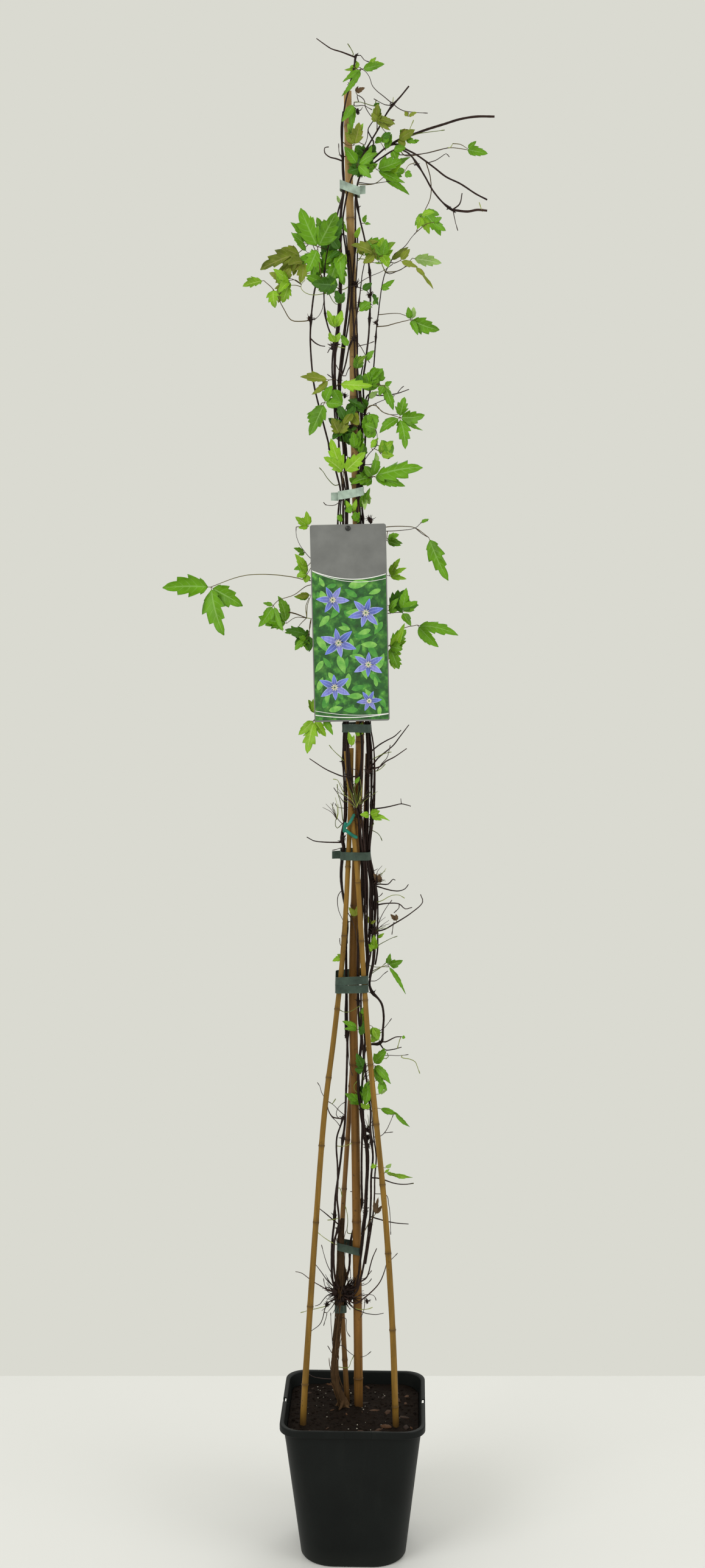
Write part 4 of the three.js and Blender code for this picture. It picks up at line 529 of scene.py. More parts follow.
def new_bmesh():
    """An empty bmesh with a UV map and a tone, from 0 to 1, on each corner point."""
    bm = bmesh.new()
    bm.loops.layers.uv.new("UVMap")
    bm.verts.layers.float.new("tone")
    return bm


def new_patch(columns, rows, place, finish=0, tone=0.5):
    """A grid of faces whose points go to place(column, row); tone is a number or one per row."""
    bm = new_bmesh()
    tones = bm.verts.layers.float["tone"]
    bmesh.ops.create_grid(bm, x_segments=columns, y_segments=rows, size=0.5, calc_uvs=True)
    for vert in bm.verts:
        column = round((vert.co.x + 0.5) * columns)
        row = round((vert.co.y + 0.5) * rows)
        vert.co = place(column, row)
        vert[tones] = tone[row] if isinstance(tone, list) else tone
    for face in bm.faces:
        face.material_index = finish
    return bm


def open_edges(bm):
    """The edges that have a face on one side only."""
    return [e for e in bm.edges if e.is_boundary]


def face_out(bm):
    """Turns all faces outwards."""
    bmesh.ops.recalc_face_normals(bm, faces=bm.faces)


def join(bm, part):
    """Moves a small bmesh into a larger one, since the operators are quicker on small ones."""
    mesh = bpy.data.meshes.new("part")
    part.to_mesh(mesh)
    part.free()
    bm.from_mesh(mesh)
    bpy.data.meshes.remove(mesh)


def thicken(bm, thickness, finish):
    """Gives an open sheet its thickness, behind its own side, with another finish there."""
    front = set(bm.faces)
    for piece in (*bm.faces, *bm.verts):
        piece.normal_update()
    geom = [*bm.faces, *bm.edges, *bm.verts]
    made = bmesh.ops.extrude_face_region(bm, geom=geom, use_keep_orig=True)["geom"]
    for vert in made:
        if isinstance(vert, bmesh.types.BMVert):
            vert.co -= vert.normal * thickness
    for face in bm.faces:
        if face not in front:
            face.material_index = finish
    face_out(bm)


def add_sheet(bm, columns, rows, place, thickness, front=0, back=0, tone=0.5, ring=False):
    """Adds a thin sheet over a grid; a ring is one whose first and last columns meet."""
    part = new_patch(columns, rows, place, front, tone)
    if ring:
        bmesh.ops.remove_doubles(part, verts=part.verts, dist=WELD)
    thicken(part, thickness, back)
    join(bm, part)


def spin_profile(bm, profile, steps, closed=False):
    """Spins a profile of (reach, rise), in metres, round the upright into a welded shell."""
    verts = [bm.verts.new((reach, 0, rise)) for reach, rise in profile]
    edges = [bm.edges.new(pair) for pair in zip(verts, verts[1:] + verts[:closed])]
    bmesh.ops.spin(
        bm, geom=verts + edges, cent=(0, 0, 0), axis=(0, 0, 1), dvec=(0, 0, 0), angle=tau,
        steps=steps, use_merge=True, use_duplicate=False,
    )
    bmesh.ops.remove_doubles(bm, verts=bm.verts, dist=WELD)


def add_tube(bm, line, radii, sides, finish=0, tone=0.5, squash=1.0):
    """A closed tube along a line of points, with a radius at each, flatter if squash is less than 1."""
    across = None
    frames = []
    for i in range(len(line)):
        ahead = (line[min(i + 1, len(line) - 1)] - line[max(i - 1, 0)]).normalized()
        across = across or ahead.orthogonal()
        across = (across - ahead * across.dot(ahead)).normalized()
        frames.append((across, ahead.cross(across) * squash))
    turns = [(cos(tau * i / sides), sin(tau * i / sides)) for i in range(sides)]
    turns.append(turns[0])

    def place(column, row):
        first, second = frames[row]
        c, s = turns[column]
        return line[row] + (first * c + second * s) * radii[row]

    part = new_patch(sides, len(line) - 1, place, finish, tone)
    bmesh.ops.remove_doubles(part, verts=part.verts, dist=WELD)
    for face in bmesh.ops.holes_fill(part, edges=open_edges(part), sides=0)["faces"]:
        face.material_index = finish
    face_out(part)
    join(bm, part)


def smooth_line(points, step=LINE_STEP):
    """Points about a step apart along the centripetal spline through the given points."""
    ends = [2 * points[0] - points[1], *points, 2 * points[-1] - points[-2]]
    line = []
    for p0, p1, p2, p3 in zip(ends, ends[1:], ends[2:], ends[3:]):
        before, here, after = [
            max((b - a).length, WELD) ** 0.5 for a, b in ((p0, p1), (p1, p2), (p2, p3))
        ]
        leave = ((p1 - p0) / before - (p2 - p0) / (before + here)) * here + (p2 - p1)
        arrive = ((p3 - p2) / after - (p3 - p1) / (here + after)) * here + (p2 - p1)
        count = max(1, round((p2 - p1).length / step))
        for i in range(count):
            t = i / count
            line.append(
                p1 * (2 * t**3 - 3 * t**2 + 1)
                + leave * (t**3 - 2 * t**2 + t)
                + p2 * (3 * t**2 - 2 * t**3)
                + arrive * (t**3 - t**2)
            )
    line.append(points[-1])
    return line


def tapered(line, first, last):
    """A value for each point of a line, from the first to the last."""
    return [first + (last - first) * i / (len(line) - 1) for i in range(len(line))]


def random_vector(dice, *ranges):
    """A vector whose x, y and z are drawn from the given ranges."""
    return Vector([dice.uniform(*ends) for ends in ranges])


def new_object(name, bm):
    """Makes an object of a bmesh and frees the bmesh."""
    mesh = bpy.data.meshes.new(name)
    bm.to_mesh(mesh)
    bm.free()
    made = bpy.data.objects.new(name, mesh)
    bpy.context.scene.collection.objects.link(made)
    return made


def soften(mesh, sharp_angle):
    """Shades a mesh smooth, but for any edges that turn by more than an angle in degrees."""
    mesh.shade_smooth()
    if sharp_angle:
        mesh.set_sharp_from_angle(angle=radians(sharp_angle))


def finish_piece(name, bm, finishes, nodes=(), sharp_angle=None):
    """Makes the object of a piece: it rides with the plant and stands for the named solids."""
    piece = new_object(name, bm)
    soften(piece.data, sharp_angle)
    for finish in finishes:
        piece.data.materials.append(finish)
    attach(piece, "root")
    if nodes:
        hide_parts(*nodes)
    return piece


# Finishes: each is a node tree on Object coordinates, the piece's UV map or its tone


def paint(text):
    """The linear colour of a screen colour such as 55922a."""
    shares = [int(text[i : i + 2], 16) / 255 for i in (0, 2, 4)]
    return [c / 12.92 if c <= 0.04045 else ((c + 0.055) / 1.055) ** 2.4 for c in shares] + [1.0]


def toned(colour, gain):
    """A colour made darker or lighter."""
    return [min(1.0, c * gain) for c in colour[:3]] + [1.0]


def ready(colour):
    """A node's colour from a screen colour text, a grey or a list of shares."""
    if isinstance(colour, str):
        return paint(colour)
    if isinstance(colour, (int, float)):
        return [colour] * 3 + [1.0]
    return list(colour)[:3] + [1.0]


class Finish:
    """A material whose nodes are added and linked by short calls."""

    def __init__(self, name, roughness, specular=0.5):
        self.material = bpy.data.materials.new(name)
        self.material.use_nodes = True
        self.tree = self.material.node_tree
        self.shader = self.tree.nodes["Principled BSDF"]
        self.shader.inputs["Roughness"].default_value = roughness
        self.shader.inputs["Specular IOR Level"].default_value = specular
        place = self.tree.nodes.new("ShaderNodeTexCoord")
        self.object_place = place.outputs["Object"]
        self.uv = place.outputs["UV"]

    def add(self, kind, inputs, output=0, **settings):
        node = self.tree.nodes.new("ShaderNode" + kind)
        for key, value in settings.items():
            setattr(node, key, value)
        for key, value in inputs.items():
            if isinstance(value, bpy.types.NodeSocket):
                self.tree.links.new(value, node.inputs[key])
            else:
                node.inputs[key].default_value = value
        return node.outputs[output]

    def math(self, operation, first, second=0.0, clamp=False):
        return self.add("Math", {0: first, 1: second}, operation=operation, use_clamp=clamp)

    def times(self, first, second):
        return self.math("MULTIPLY", first, second)

    def noise(self, scale, detail=3.0, stretch=1.0, roughness=0.55):
        """Noise in the piece's place, drawn out along the height if the stretch is below 1."""
        where = self.object_place
        if stretch < 1:
            where = self.add("Mapping", {"Vector": where, "Scale": (1, 1, stretch)})
        inputs = {"Vector": where, "Scale": scale, "Detail": detail, "Roughness": roughness}
        return self.add("TexNoise", inputs)

    def tone(self):
        return self.add("Attribute", {}, output=2, attribute_name="tone")

    def height(self):
        return self.add("SeparateXYZ", {0: self.object_place}, output=2)

    def blade(self):
        """How far a place on a leaf or petal is out from its middle and along it, from 0 to 1."""
        u = self.add("SeparateXYZ", {0: self.uv}, output=0)
        v = self.add("SeparateXYZ", {0: self.uv}, output=1)
        return self.times(self.math("ABSOLUTE", self.math("SUBTRACT", u, 0.5)), 2.0), v

    def ramp(self, share, *stops):
        """A colour ramp through (place, colour) stops."""
        node = self.tree.nodes.new("ShaderNodeValToRGB")
        bits = node.color_ramp.elements
        while len(bits) < len(stops):
            bits.new(0.5)
        for bit, (position, colour) in zip(bits, stops):
            bit.position = position
            bit.color = ready(colour)
        self.tree.links.new(share, node.inputs[0])
        return node.outputs[0]

    def mix(self, share, first, second):
        values = {0: share, 6: first, 7: second}
        for key in (6, 7):
            if not isinstance(values[key], bpy.types.NodeSocket):
                values[key] = ready(values[key])
        return self.add("Mix", values, output=2, data_type="RGBA")

    def blotch(self, shade, share, start, full, most, colour):
        """Mixes a colour into a shade where a share rises from its start to its full value."""
        return self.mix(self.ramp(share, (start, 0.0), (full, most)), shade, colour)

    def bump(self, height, strength, distance, after=None):
        inputs = {"Height": height, "Strength": strength, "Distance": distance}
        if after:
            inputs["Normal"] = after
        return self.add("Bump", inputs)

    def done(self, colour, normal=None, roughness=None):
        links = {"Base Color": colour, "Normal": normal, "Roughness": roughness}
        for socket, value in links.items():
            if value is not None:
                self.tree.links.new(value, self.shader.inputs[socket])
        return self.material


def pot_finish(colour):
    """The pot's charcoal plastic: a fine moulded grain, faint clouds, and dust low down."""
    f = Finish("pot_plastic", 0.5, 0.12)
    cloud = f.noise(14, 5)
    grain = f.noise(1400, 2)
    body = f.ramp(cloud, (0.3, toned(colour, 0.7)), (0.7, toned(colour, 1.15)))
    streaks = f.noise(60, 4, 0.12)
    dusty = f.ramp(streaks, (0.52, 0.0), (0.78, 0.35))
    low = f.ramp(f.times(f.height(), 5.0), (0.0, 0.9), (0.14, 0.0))
    shade = f.mix(f.times(f.math("MAXIMUM", dusty, low), 0.5), body, "262825")
    rough = f.add("MapRange", {0: cloud, 3: 0.42, 4: 0.6})
    bump = f.bump(grain, 0.25, 0.0004, f.bump(cloud, 0.15, 0.002))
    return f.done(shade, bump, rough)


def soil_finish(name, dark, light, fleck):
    """Moist soil: coarse lumps with paler fibres in them."""
    f = Finish(name, 0.95, 0.08)
    lumps = f.noise(170, 6, roughness=0.7)
    fine = f.noise(900, 4)
    earth = f.ramp(lumps, (0.28, dark), (0.72, light))
    shade = f.blotch(earth, fine, 0.62, 0.74, 0.8, fleck)
    shade = f.mix(f.times(f.tone(), 0.35), shade, light)
    bump = f.bump(fine, 0.8, 0.001, f.bump(lumps, 0.9, 0.003))
    return f.done(shade, bump)


def grain_finish(name, dark, light, roughness):
    """Loose grains and chips, each of its own tone, with a fine speckle."""
    f = Finish(name, roughness, 0.3)
    speckle = f.noise(500, 3)
    body = f.ramp(f.tone(), (0.0, dark), (1.0, light))
    shade = f.blotch(body, speckle, 0.4, 0.75, 0.5, dark)
    return f.done(shade, f.bump(speckle, 0.6, 0.0006))


def bamboo_finish(name, body, ring, faded):
    """Bamboo: fibres along the cane, mottling, and a dark ring where the tone rises at a node.

    Faded is None, or the colour to which the cane fades and the heights, in metres, where that
    starts and is full.
    """
    dark = toned(body, 0.5)
    light = toned(body, 1.5)
    f = Finish(name, 0.5, 0.22)
    fibre = f.noise(900, 3, 0.012)
    streak = f.noise(160, 4, 0.05)
    mottle = f.noise(28, 6, 0.35, 0.65)
    shade = f.ramp(streak, (0.25, dark), (0.5, body), (0.8, light))
    shade = f.blotch(shade, mottle, 0.42, 0.7, 0.55, dark)
    shade = f.blotch(shade, fibre, 0.45, 0.8, 0.35, light)
    if faded:
        upper = f.add("MapRange", {0: f.height(), 1: faded[1], 2: faded[2]})
        pale = f.ramp(mottle, (0.35, faded[0]), (0.7, toned(paint(faded[0]), 0.6)))
        shade = f.mix(f.times(upper, 0.8), shade, pale)
    shade = f.blotch(shade, f.noise(240, 3), 0.66, 0.72, 0.6, ring)
    shade = f.mix(f.tone(), shade, ring)
    rough = f.add("MapRange", {0: mottle, 3: 0.4, 4: 0.62})
    return f.done(shade, f.bump(fibre, 0.35, 0.0004, f.bump(mottle, 0.2, 0.0008)), rough)


def bark_finish(name, dark, body, light, roughness=0.6):
    """Bark: ridges along the stem, darker or lighter by the tone of each stretch."""
    f = Finish(name, roughness, 0.15)
    ridges = f.noise(1100, 4, 0.05)
    patches = f.noise(70, 4, 0.3)
    shade = f.ramp(f.tone(), (0.0, dark), (0.5, body), (1.0, light))
    shade = f.blotch(shade, patches, 0.4, 0.7, 0.6, dark)
    shade = f.blotch(shade, ridges, 0.55, 0.8, 0.45, light)
    return f.done(shade, f.bump(ridges, 0.7, 0.0005, f.bump(patches, 0.3, 0.001)))


# The colours of each hue's veins and edge, and its roughness

HUES = {
    "fresh": ("9cc46e", "3a5a20", 0.4),
    "bright": ("c3dd7a", "5f9a24", 0.38),
    "olive": ("a9a566", "7a4a34", 0.45),
    "pale": ("cfe0b0", "7f9c52", 0.5),
    "dark": ("6f9a58", "24421c", 0.42),
    "dry": ("8a6c52", "3c281c", 0.8),
}


def leaf_finish(name, body, vein, edge, roughness):
    """A leaf's side: a midrib and slanting side veins on its UV map, mottling and a tinged edge."""
    f = Finish(name, roughness, 0.2)
    dark = toned(body, 0.5)
    light = toned(body, 1.45)
    out, v = f.blade()
    rib = f.ramp(out, (0.02, 0.9), (0.1, 0.0))
    wave = f.math("FRACT", f.math("SUBTRACT", f.times(v, 6.5), f.times(out, 1.3)))
    side = f.ramp(f.math("ABSOLUTE", f.math("SUBTRACT", wave, 0.5)), (0.02, 0.55), (0.12, 0.0))
    veins = f.math("MAXIMUM", rib, f.times(side, f.math("SUBTRACT", 1.0, out)), True)
    patches = f.noise(55, 4)
    fine = f.noise(600, 3)
    shade = f.ramp(patches, (0.3, dark), (0.52, body), (0.78, light))
    shade = f.mix(f.times(f.tone(), 0.6), shade, light)
    shade = f.blotch(shade, f.times(out, patches), 0.42, 0.72, 0.75, edge)
    shade = f.mix(f.times(veins, 0.55), shade, vein)
    relief = f.math("SUBTRACT", f.times(fine, 0.25), veins)
    return f.done(shade, f.bump(relief, 0.6, 0.0006))


def tape_finish(name, dark, light):
    """Thin plastic tape: lengthwise ribs, crease marks with painted shade, and a cloudy painted sheen."""
    f = Finish(name, 0.42, 0.3)
    cloud = f.noise(90, 4)
    waves = {"Vector": f.object_place, "Scale": 420, "Distortion": 1.5}
    ribs = f.add("TexWave", waves, output=1, bands_direction="Z")
    creases_and_shade = f.noise(260, 3, 0.3)
    # The cloud's light and dark tones are a painted sheen
    shade = f.ramp(cloud, (0.3, dark), (0.75, light))
    # Painted shade: the crease marks are darkened
    shade = f.blotch(shade, creases_and_shade, 0.55, 0.7, 0.35, dark)
    return f.done(shade, f.bump(ribs, 0.25, 0.0003, f.bump(creases_and_shade, 0.4, 0.0008)))


def smooth_finish(name, dark, light, roughness, specular=0.5, scale=120):
    """A plain moulded or printed finish with a faint cloud and grain."""
    f = Finish(name, roughness, specular)
    cloud = f.noise(scale, 4)
    grain = f.noise(1800, 2)
    return f.done(f.ramp(cloud, (0.3, dark), (0.7, light)), f.bump(grain, 0.15, 0.0002))


def petal_finish(colour):
    """A printed petal: pale at its rim and along its middle, by its UV map."""
    f = Finish("print_petal", 0.35, 0.5)
    out, v = f.blade()
    body = f.ramp(v, (0.0, toned(colour, 0.45)), (0.45, colour), (1.0, toned(colour, 1.8)))
    body = f.mix(f.times(f.tone(), 0.5), body, "a9a3e6")
    body = f.mix(f.ramp(out, (0.0, 0.35), (0.12, 0.0), (0.7, 0.0), (1.0, 0.8)), body, "c3cdf2")
    return f.done(f.blotch(body, f.noise(420, 2, 0.2), 0.5, 0.7, 0.4, "34458f"))


def foliage_finish():
    """The printed green ground of the label's picture: soft lights and darks of leaves."""
    f = Finish("print_foliage", 0.35, 0.5)
    blots = f.noise(95, 5, roughness=0.6)
    cells = f.add("TexVoronoi", {"Vector": f.object_place, "Scale": 95})
    ground = f.ramp(blots, (0.3, "0f2a12"), (0.48, "2a6a24"), (0.62, "5da63a"), (0.8, "a8d46a"))
    return f.done(f.blotch(ground, cells, 0.1, 0.6, 0.65, "1d4a1c"))


# Leaves

LEAFLET_COLUMNS = 10

# A leaflet at least this wide, in mm, is lobed and not just toothed
LOBED_WIDTH = 16


def add_leaflet(bm, root, tip, width, dice, sheet, tone):
    """A toothed leaflet from its root to its tip, folded on its midrib; its width is in mm.

    The sheet gives its thickness, how far it folds and the number of its top finish.
    """
    thickness, fold_share, top = sheet
    along = tip - root
    length = along.length
    along.normalize()
    side = along.cross(Vector((0, -1, 0.15))).normalized()
    lie = side.cross(along).normalized()
    tilt = dice.uniform(-0.55, 0.55)
    turn = Matrix.Rotation(tilt, 3, along)
    side = turn @ side
    lie = turn @ lie
    half_width = 0.5 * width * MM / cos(tilt)
    lobed = width >= LOBED_WIDTH
    teeth = 3 if lobed else max(2, min(4, round(length / MM / 9)))
    depth = dice.uniform(0.28, 0.42) if lobed else dice.uniform(0.1, 0.22)
    smooth = 3 if lobed else 4
    rows = 4 * teeth + smooth + 1
    arch = dice.uniform(0.03, 0.3) * length
    fold = fold_share * dice.uniform(0.3, 1.8)
    curl = dice.uniform(-0.25, 0.35)
    wave = dice.uniform(0.02, 0.06) * length
    phase = dice.uniform(0, tau)
    bend = dice.uniform(-0.08, 0.08) * length

    def place(column, row):
        share = row / rows
        across = 2 * column / LEAFLET_COLUMNS - 1
        body = max(0.03, sin(pi * share**0.64) ** 0.9)
        tooth = (row - smooth) % 4 / 3 if smooth <= row < rows - 1 else 0.85
        half = half_width * body
        edge = across * across
        out = across * half * (1 - depth * (1 - tooth) * edge)
        reach = length * share + min(0.3 * half, 1.3 * length / rows) * tooth * edge
        lift = fold * abs(across) * half - curl * edge * half + arch * share * (1 - share)
        lift += wave * edge * sin(tau * 1.4 * share + phase + 2 * across) * body
        out += bend * share * (1 - share) * 2
        return root + along * reach + side * out + lie * lift

    add_sheet(bm, LEAFLET_COLUMNS, rows, place, thickness, top, top + 1, tone)


def add_leaf(bm, stalk, blades, dice, sheet, radii):
    """A leaf: its stalk, and its leaflets (tip, width, root), each on a short stalk of its own."""
    line = smooth_line(stalk, STALK_STEP)
    add_tube(bm, line, tapered(line, *radii), 6, 0, dice.uniform(0.2, 0.7))
    for tip, width, root in blades:
        start = root + (tip - root).normalized() * min(0.0035, 0.08 * (tip - root).length)
        if start != root:
            add_tube(bm, [root, root.lerp(start, 0.5), start], [radii[1] * 0.9] * 3, 5)
        add_leaflet(bm, start, tip, width, dice, sheet, dice.uniform(0.0, 1.0))


def add_small_leaf(bm, hub, tips, dice, sheet, radii):
    """A small leaf on a bowed stalk that starts at the nearest place on the vines or old stalks."""
    reach, spot = TRAIL.nearest(*hub)
    depth = spot[2] + dice.uniform(-0.6, 0.15) * min(reach, 30) - 1.5
    start = seen(*spot)
    end = seen(*hub, depth)
    bow = random_vector(dice, (-0.1, 0.1), (-0.15, 0), (0, 0.2))
    middle = start.lerp(end, 0.55) + bow * (end - start).length
    blades = []
    for right, up, width in tips:
        nearer = dice.uniform(-0.5, 0.1) * hypot(right, up)
        blades.append((seen(hub[0] + right, hub[1] + up, depth + nearer), width, end))
    add_leaf(bm, [start, middle, end], blades, dice, sheet, radii)


# Vines, and what grows on them


class Trail:
    """The lines that carry leaf stalks, kept so that a stalk can start at the nearest of them."""

    def __init__(self):
        self.spots = []

    def keep(self, line):
        for point in line:
            share = (point.y - EYE.y * MM) / (-EYE.y * MM)
            flat = EYE * MM + (point - EYE * MM) / share
            self.spots.append((flat.x / MM, flat.z / MM, point.y / MM))

    def nearest(self, x, z):
        """How far off, in mm as seen, the nearest spot is, and the spot as (x, z, depth)."""
        best = min(self.spots, key=lambda s: (s[0] - x) ** 2 + (s[1] - z) ** 2)
        return hypot(best[0] - x, best[1] - z), best


TRAIL = Trail()

# How much a vine swells at the points round a node
NODE_SWELL = (1.25, 1.5, 1.75, 1.5, 1.25)

# The heights in mm of the tapes, where the strands are drawn in
TAPE_HEIGHTS = [327, 410, 773, 940, 1104, 1399, 1769]

# Knots of scales and stubs: where seen, their size in mm and the number of stubs
TUFTS = """
30,906,-6,9,26 25.5,838,-6,10,26 18.6,572,-2,7,18 18,563,-2,7,20 17.5,552,-2,8,20 15.4,476,-2,6,16
15,467,-2,7,18 14.5,459,-2,6,14 17.3,338,0,6,12 -36,333,-2,6,14 17.4,1048,-8,9,24 4.9,1004,-14,12,34
6,990,-12,9,18 -13.8,961,-12,6,14 -55,1613,-6,7,12 -25.6,1578,-8,8,20 -1.3,1590,-8,5,10 19,1642,-4,7,14
27.4,1608,-4,6,10 -29,1723,-8,8,18 124,1743,0,4,7 -4,1480,-10,8,18 -12,1520,-8,6,12 2,1655,-8,8,16
20,1366,-8,8,18 -6,1440,-10,9,18 5,1862,-5,7,14 -4,1812,-6,7,14 11,1100,-9,7,12
"""

# A branch that ends further to the right than this, in metres, is a thick arm that was cut off
CUT_ARM_REACH = 0.155

# The share of old stalks that are still greenish
GREEN_SHARE = 0.4

# Fans of thin stalks: where seen, how many, their length in mm, the way they lean and their spread
FANS = [
    ((3, 1000, -20), 18, 36, 1.9, 0.7), ((7, 1004, -19), 9, 34, 1.1, 0.5),
    ((-22, 985, -16), 8, 26, 1.9, 0.6), ((27, 838, -6), 8, 26, 0.9, 0.7),
    ((28, 906, -6), 6, 20, 0.6, 0.8), ((12, 640, -6), 5, 22, 1.2, 0.9), ((18, 575, -2), 6, 18, 1.4, 0.8),
]


def add_bud(bm, place, ahead, size, dice):
    """The spiky scales and dry stubs that stand round a stem at a node."""
    for _ in range(dice.randint(3, 5)):
        out = random_vector(dice, (-1, 1), (-1, 1), (-0.2, 0.9))
        out = (out - ahead * out.dot(ahead) * 0.5).normalized()
        tip = place + out * size * dice.uniform(1.8, 4.2)
        middle = place.lerp(tip, 0.55) + Vector((0, 0, size * dice.uniform(-0.4, 0.5)))
        add_tube(bm, [place, middle, tip], [size * 0.6, size * 0.4, size * 0.12], 5, 0, 0.3)


def add_vine(bm, points, radii, nodes, dice, tones):
    """One vine or branch: a tube that tapers, wavers and swells at its nodes."""
    line = smooth_line(points)
    TRAIL.keep(line)
    size = tapered(line, *radii)
    tone = tapered(line, *tones)
    knots = sorted(range(len(line)), key=lambda i: line[i].z)
    for node in nodes:
        spot = min(knots, key=lambda i: abs(line[i].z / MM - node))
        for i in range(max(0, spot - 2), min(len(line), spot + 3)):
            size[i] *= NODE_SWELL[i - spot + 2]
            tone[i] *= 0.6
        ahead = (line[min(spot + 1, len(line) - 1)] - line[max(spot - 1, 0)]).normalized()
        add_bud(bm, line[spot], ahead, radii[1] * 1.6, dice)
    size = [s * dice.uniform(0.94, 1.06) for s in size]
    add_tube(bm, line, size, 8, 0, tone)


def add_strands(bm, line, runs, radius, dice):
    """Thinner strands that wind loosely along a vine between two heights and tighten at the tapes."""
    for low, high in runs:
        turn = dice.uniform(0, tau)
        way = []
        for point in line[::3]:
            turn += dice.uniform(-0.16, 0.2)
            height = point.z / MM
            if not low < height < high:
                continue
            slack = min(1.0, 0.15 + min(abs(height - tape) for tape in TAPE_HEIGHTS) / 70)
            reach = (1.9 + 2.9 * slack * (0.6 + 0.4 * sin(height / 37 + low))) * MM
            way.append(point + Vector((cos(turn), 0.75 * sin(turn), 0)) * reach)
        if len(way) > 3:
            size = tapered(way, radius, radius * 0.7)
            add_vine(bm, way, (size[1], size[-2]), [], dice, (dice.uniform(0, 0.5),) * 2)


def add_tuft(bm, centre, size, count, dice):
    """A dark knot of bud scales and broken stubs; its size is in mm."""
    place = seen(*centre)
    half = size * MM
    for _ in range(3):
        spot = place + Vector([dice.uniform(-0.2, 0.2) * half for _ in range(3)])
        add_lump(bm, spot, (half * 0.28, half * 0.22, half * 0.4), dice, 2, dice.uniform(0, 0.4))
    for _ in range(count):
        away = random_vector(dice, (-1, 1), (-0.8, 0.5), (-0.8, 1)).normalized()
        reach = dice.uniform(0.5, 1.0) * half
        middle = place + away * reach * 0.55 + Vector((0, 0, dice.uniform(-0.15, 0.15) * half))
        tip = place + away * reach + Vector((0, 0, dice.uniform(-0.1, 0.4) * half))
        way = smooth_line([place, middle, tip])
        add_tube(bm, way, tapered(way, dice.uniform(0.0005, 0.0009), 0.0002), 5, 0, dice.random())


def add_fan(bm, fan, dice, radius):
    """Thin stalks that spread from one node."""
    spot, count, length, lean, spread = fan
    start = seen(*spot)
    for _ in range(count):
        angle = lean + dice.uniform(-spread, spread)
        reach = length * MM * dice.uniform(0.5, 1.1)
        away = Vector((cos(angle), dice.uniform(-0.35, 0.1), sin(angle))) * reach
        bow = Vector((dice.uniform(-0.12, 0.12), 0, dice.uniform(0, 0.1))) * reach
        way = smooth_line([start, start + away * 0.5 + bow, start + away], STALK_STEP)
        add_tube(bm, way, tapered(way, radius, radius * 0.5), 5, dice.randint(0, 1), dice.random())


def add_old_stalk(bm, points, dice, radius):
    """An old stalk or tendril, run on from the stem nearest to one of its ends."""
    first = TRAIL.nearest(*points[0])
    last = TRAIL.nearest(*points[-1])
    if last[0] < first[0]:
        points = points[::-1]
        first = last
    off, spot = first
    depth = spot[2]
    drift = dice.uniform(-0.35, 0.3)
    places = [seen(*spot)] if off > 1.0 else []
    run = 0.0
    for i, (x, z) in enumerate(points):
        if i:
            run += hypot(x - points[i - 1][0], z - points[i - 1][1])
        bow = 1.5 * sin(run / 9 + dice.uniform(0, 0.5))
        places.append(seen(x, z, depth + drift * run + bow * min(1, run / 15)))
    line = smooth_line(places)
    TRAIL.keep(line)
    size = tapered(line, radius, radius * 0.55)
    if len(size) > 4:
        size[-1] *= 1.5
        size[-2] *= 1.7
    finish = int(dice.random() < GREEN_SHARE)
    add_tube(bm, line, size, 6, finish, dice.uniform(0.1, 0.9))


# Canes: their radii in mm at the foot and the top, the heights of their nodes, and their courses

CANES = {
    "cane_tall": {
        "look": "tall",
        "radii": (6.0, 4.8),
        "nodes": [228, 337, 446, 555, 660, 768, 872, 978, 1085, 1192, 1300, 1410, 1518, 1626, 1735, 1845],
        "path": """
7.2,86,9 6.1,196,8 5.2,300,7.5 4,400,7 2.4,530,6.5 0.4,650,6 -1.4,750,5.5 -0.6,820,5 2,900,4.5 5,1000,4 \
7.4,1090 6.5,1200,3.5 3.2,1363,3 0,1500,2.5 -1.6,1640,2 -3.4,1700,1.5 -6.2,1780,1 -8,1886,0
""",
    },
    "cane_left": {
        "look": "golden",
        "radii": (4.35, 2.9),
        "nodes": [240, 345, 458, 560, 650, 740, 835, 925],
        "path": """
-70.5,70,-42 -67.8,176,-40 -60.2,300,-35 -50,450,-28.5 -38.3,600,-21.5 -26,700,-17 -14.4,810,-12 \
-8,920,-7 -4.6,1010,-3 -3.3,1077
""",
    },
    "cane_right": {
        "look": "golden",
        "radii": (4.35, 2.9),
        "nodes": [212, 315, 418, 510, 590, 668, 753, 830, 905, 985],
        "path": """
58,70,-46 56,162,-45 51.2,300,-38.5 41.8,450,-33 27.4,600,-27.5 18,700,-23.5 11.2,800,-19.5 \
5.2,900,-15.5 1,950,-13.8 -4.4,1010,-11.5 -10.3,1073,-10.5
""",
    },
    "cane_back": {
        "look": "back",
        "radii": (3.6, 2.6),
        "nodes": [250, 335, 420, 488, 555, 628, 700, 775, 850, 955],
        "path": """
-3,100,17 -9,200,16.5 -14.5,300,16 -17.6,380 -15.3,450 -6,600 2.8,750 9.6,880,15 14.8,1000,13.5 \
17,1070,13
""",
    },
}

# Offsets in mm from a node's ring, with the radius gained and the darkness there
NODE_SHAPE = [
    (-6, 0.0, 0.0), (-3, 0.15, 0.12), (-1.2, 0.5, 0.35), (-0.2, 0.65, 0.6), (0.6, 0.15, 0.7),
    (1.4, 0.3, 0.3), (4, 0.1, 0.1), (8, 0.0, 0.0),
]

# The soil's height in mm at the canes, how far up they are darkened by soil stain and painted shade, and
# how darkly
SOIL_LINE = 186
STAIN_AND_SHADE_REACH = 30
STAIN_AND_SHADE_TONE = 0.75

# The colour to which the tall cane fades, and the heights in metres where that starts and is full
TALL_FADED = ("b8955e", 1.2, 1.5)

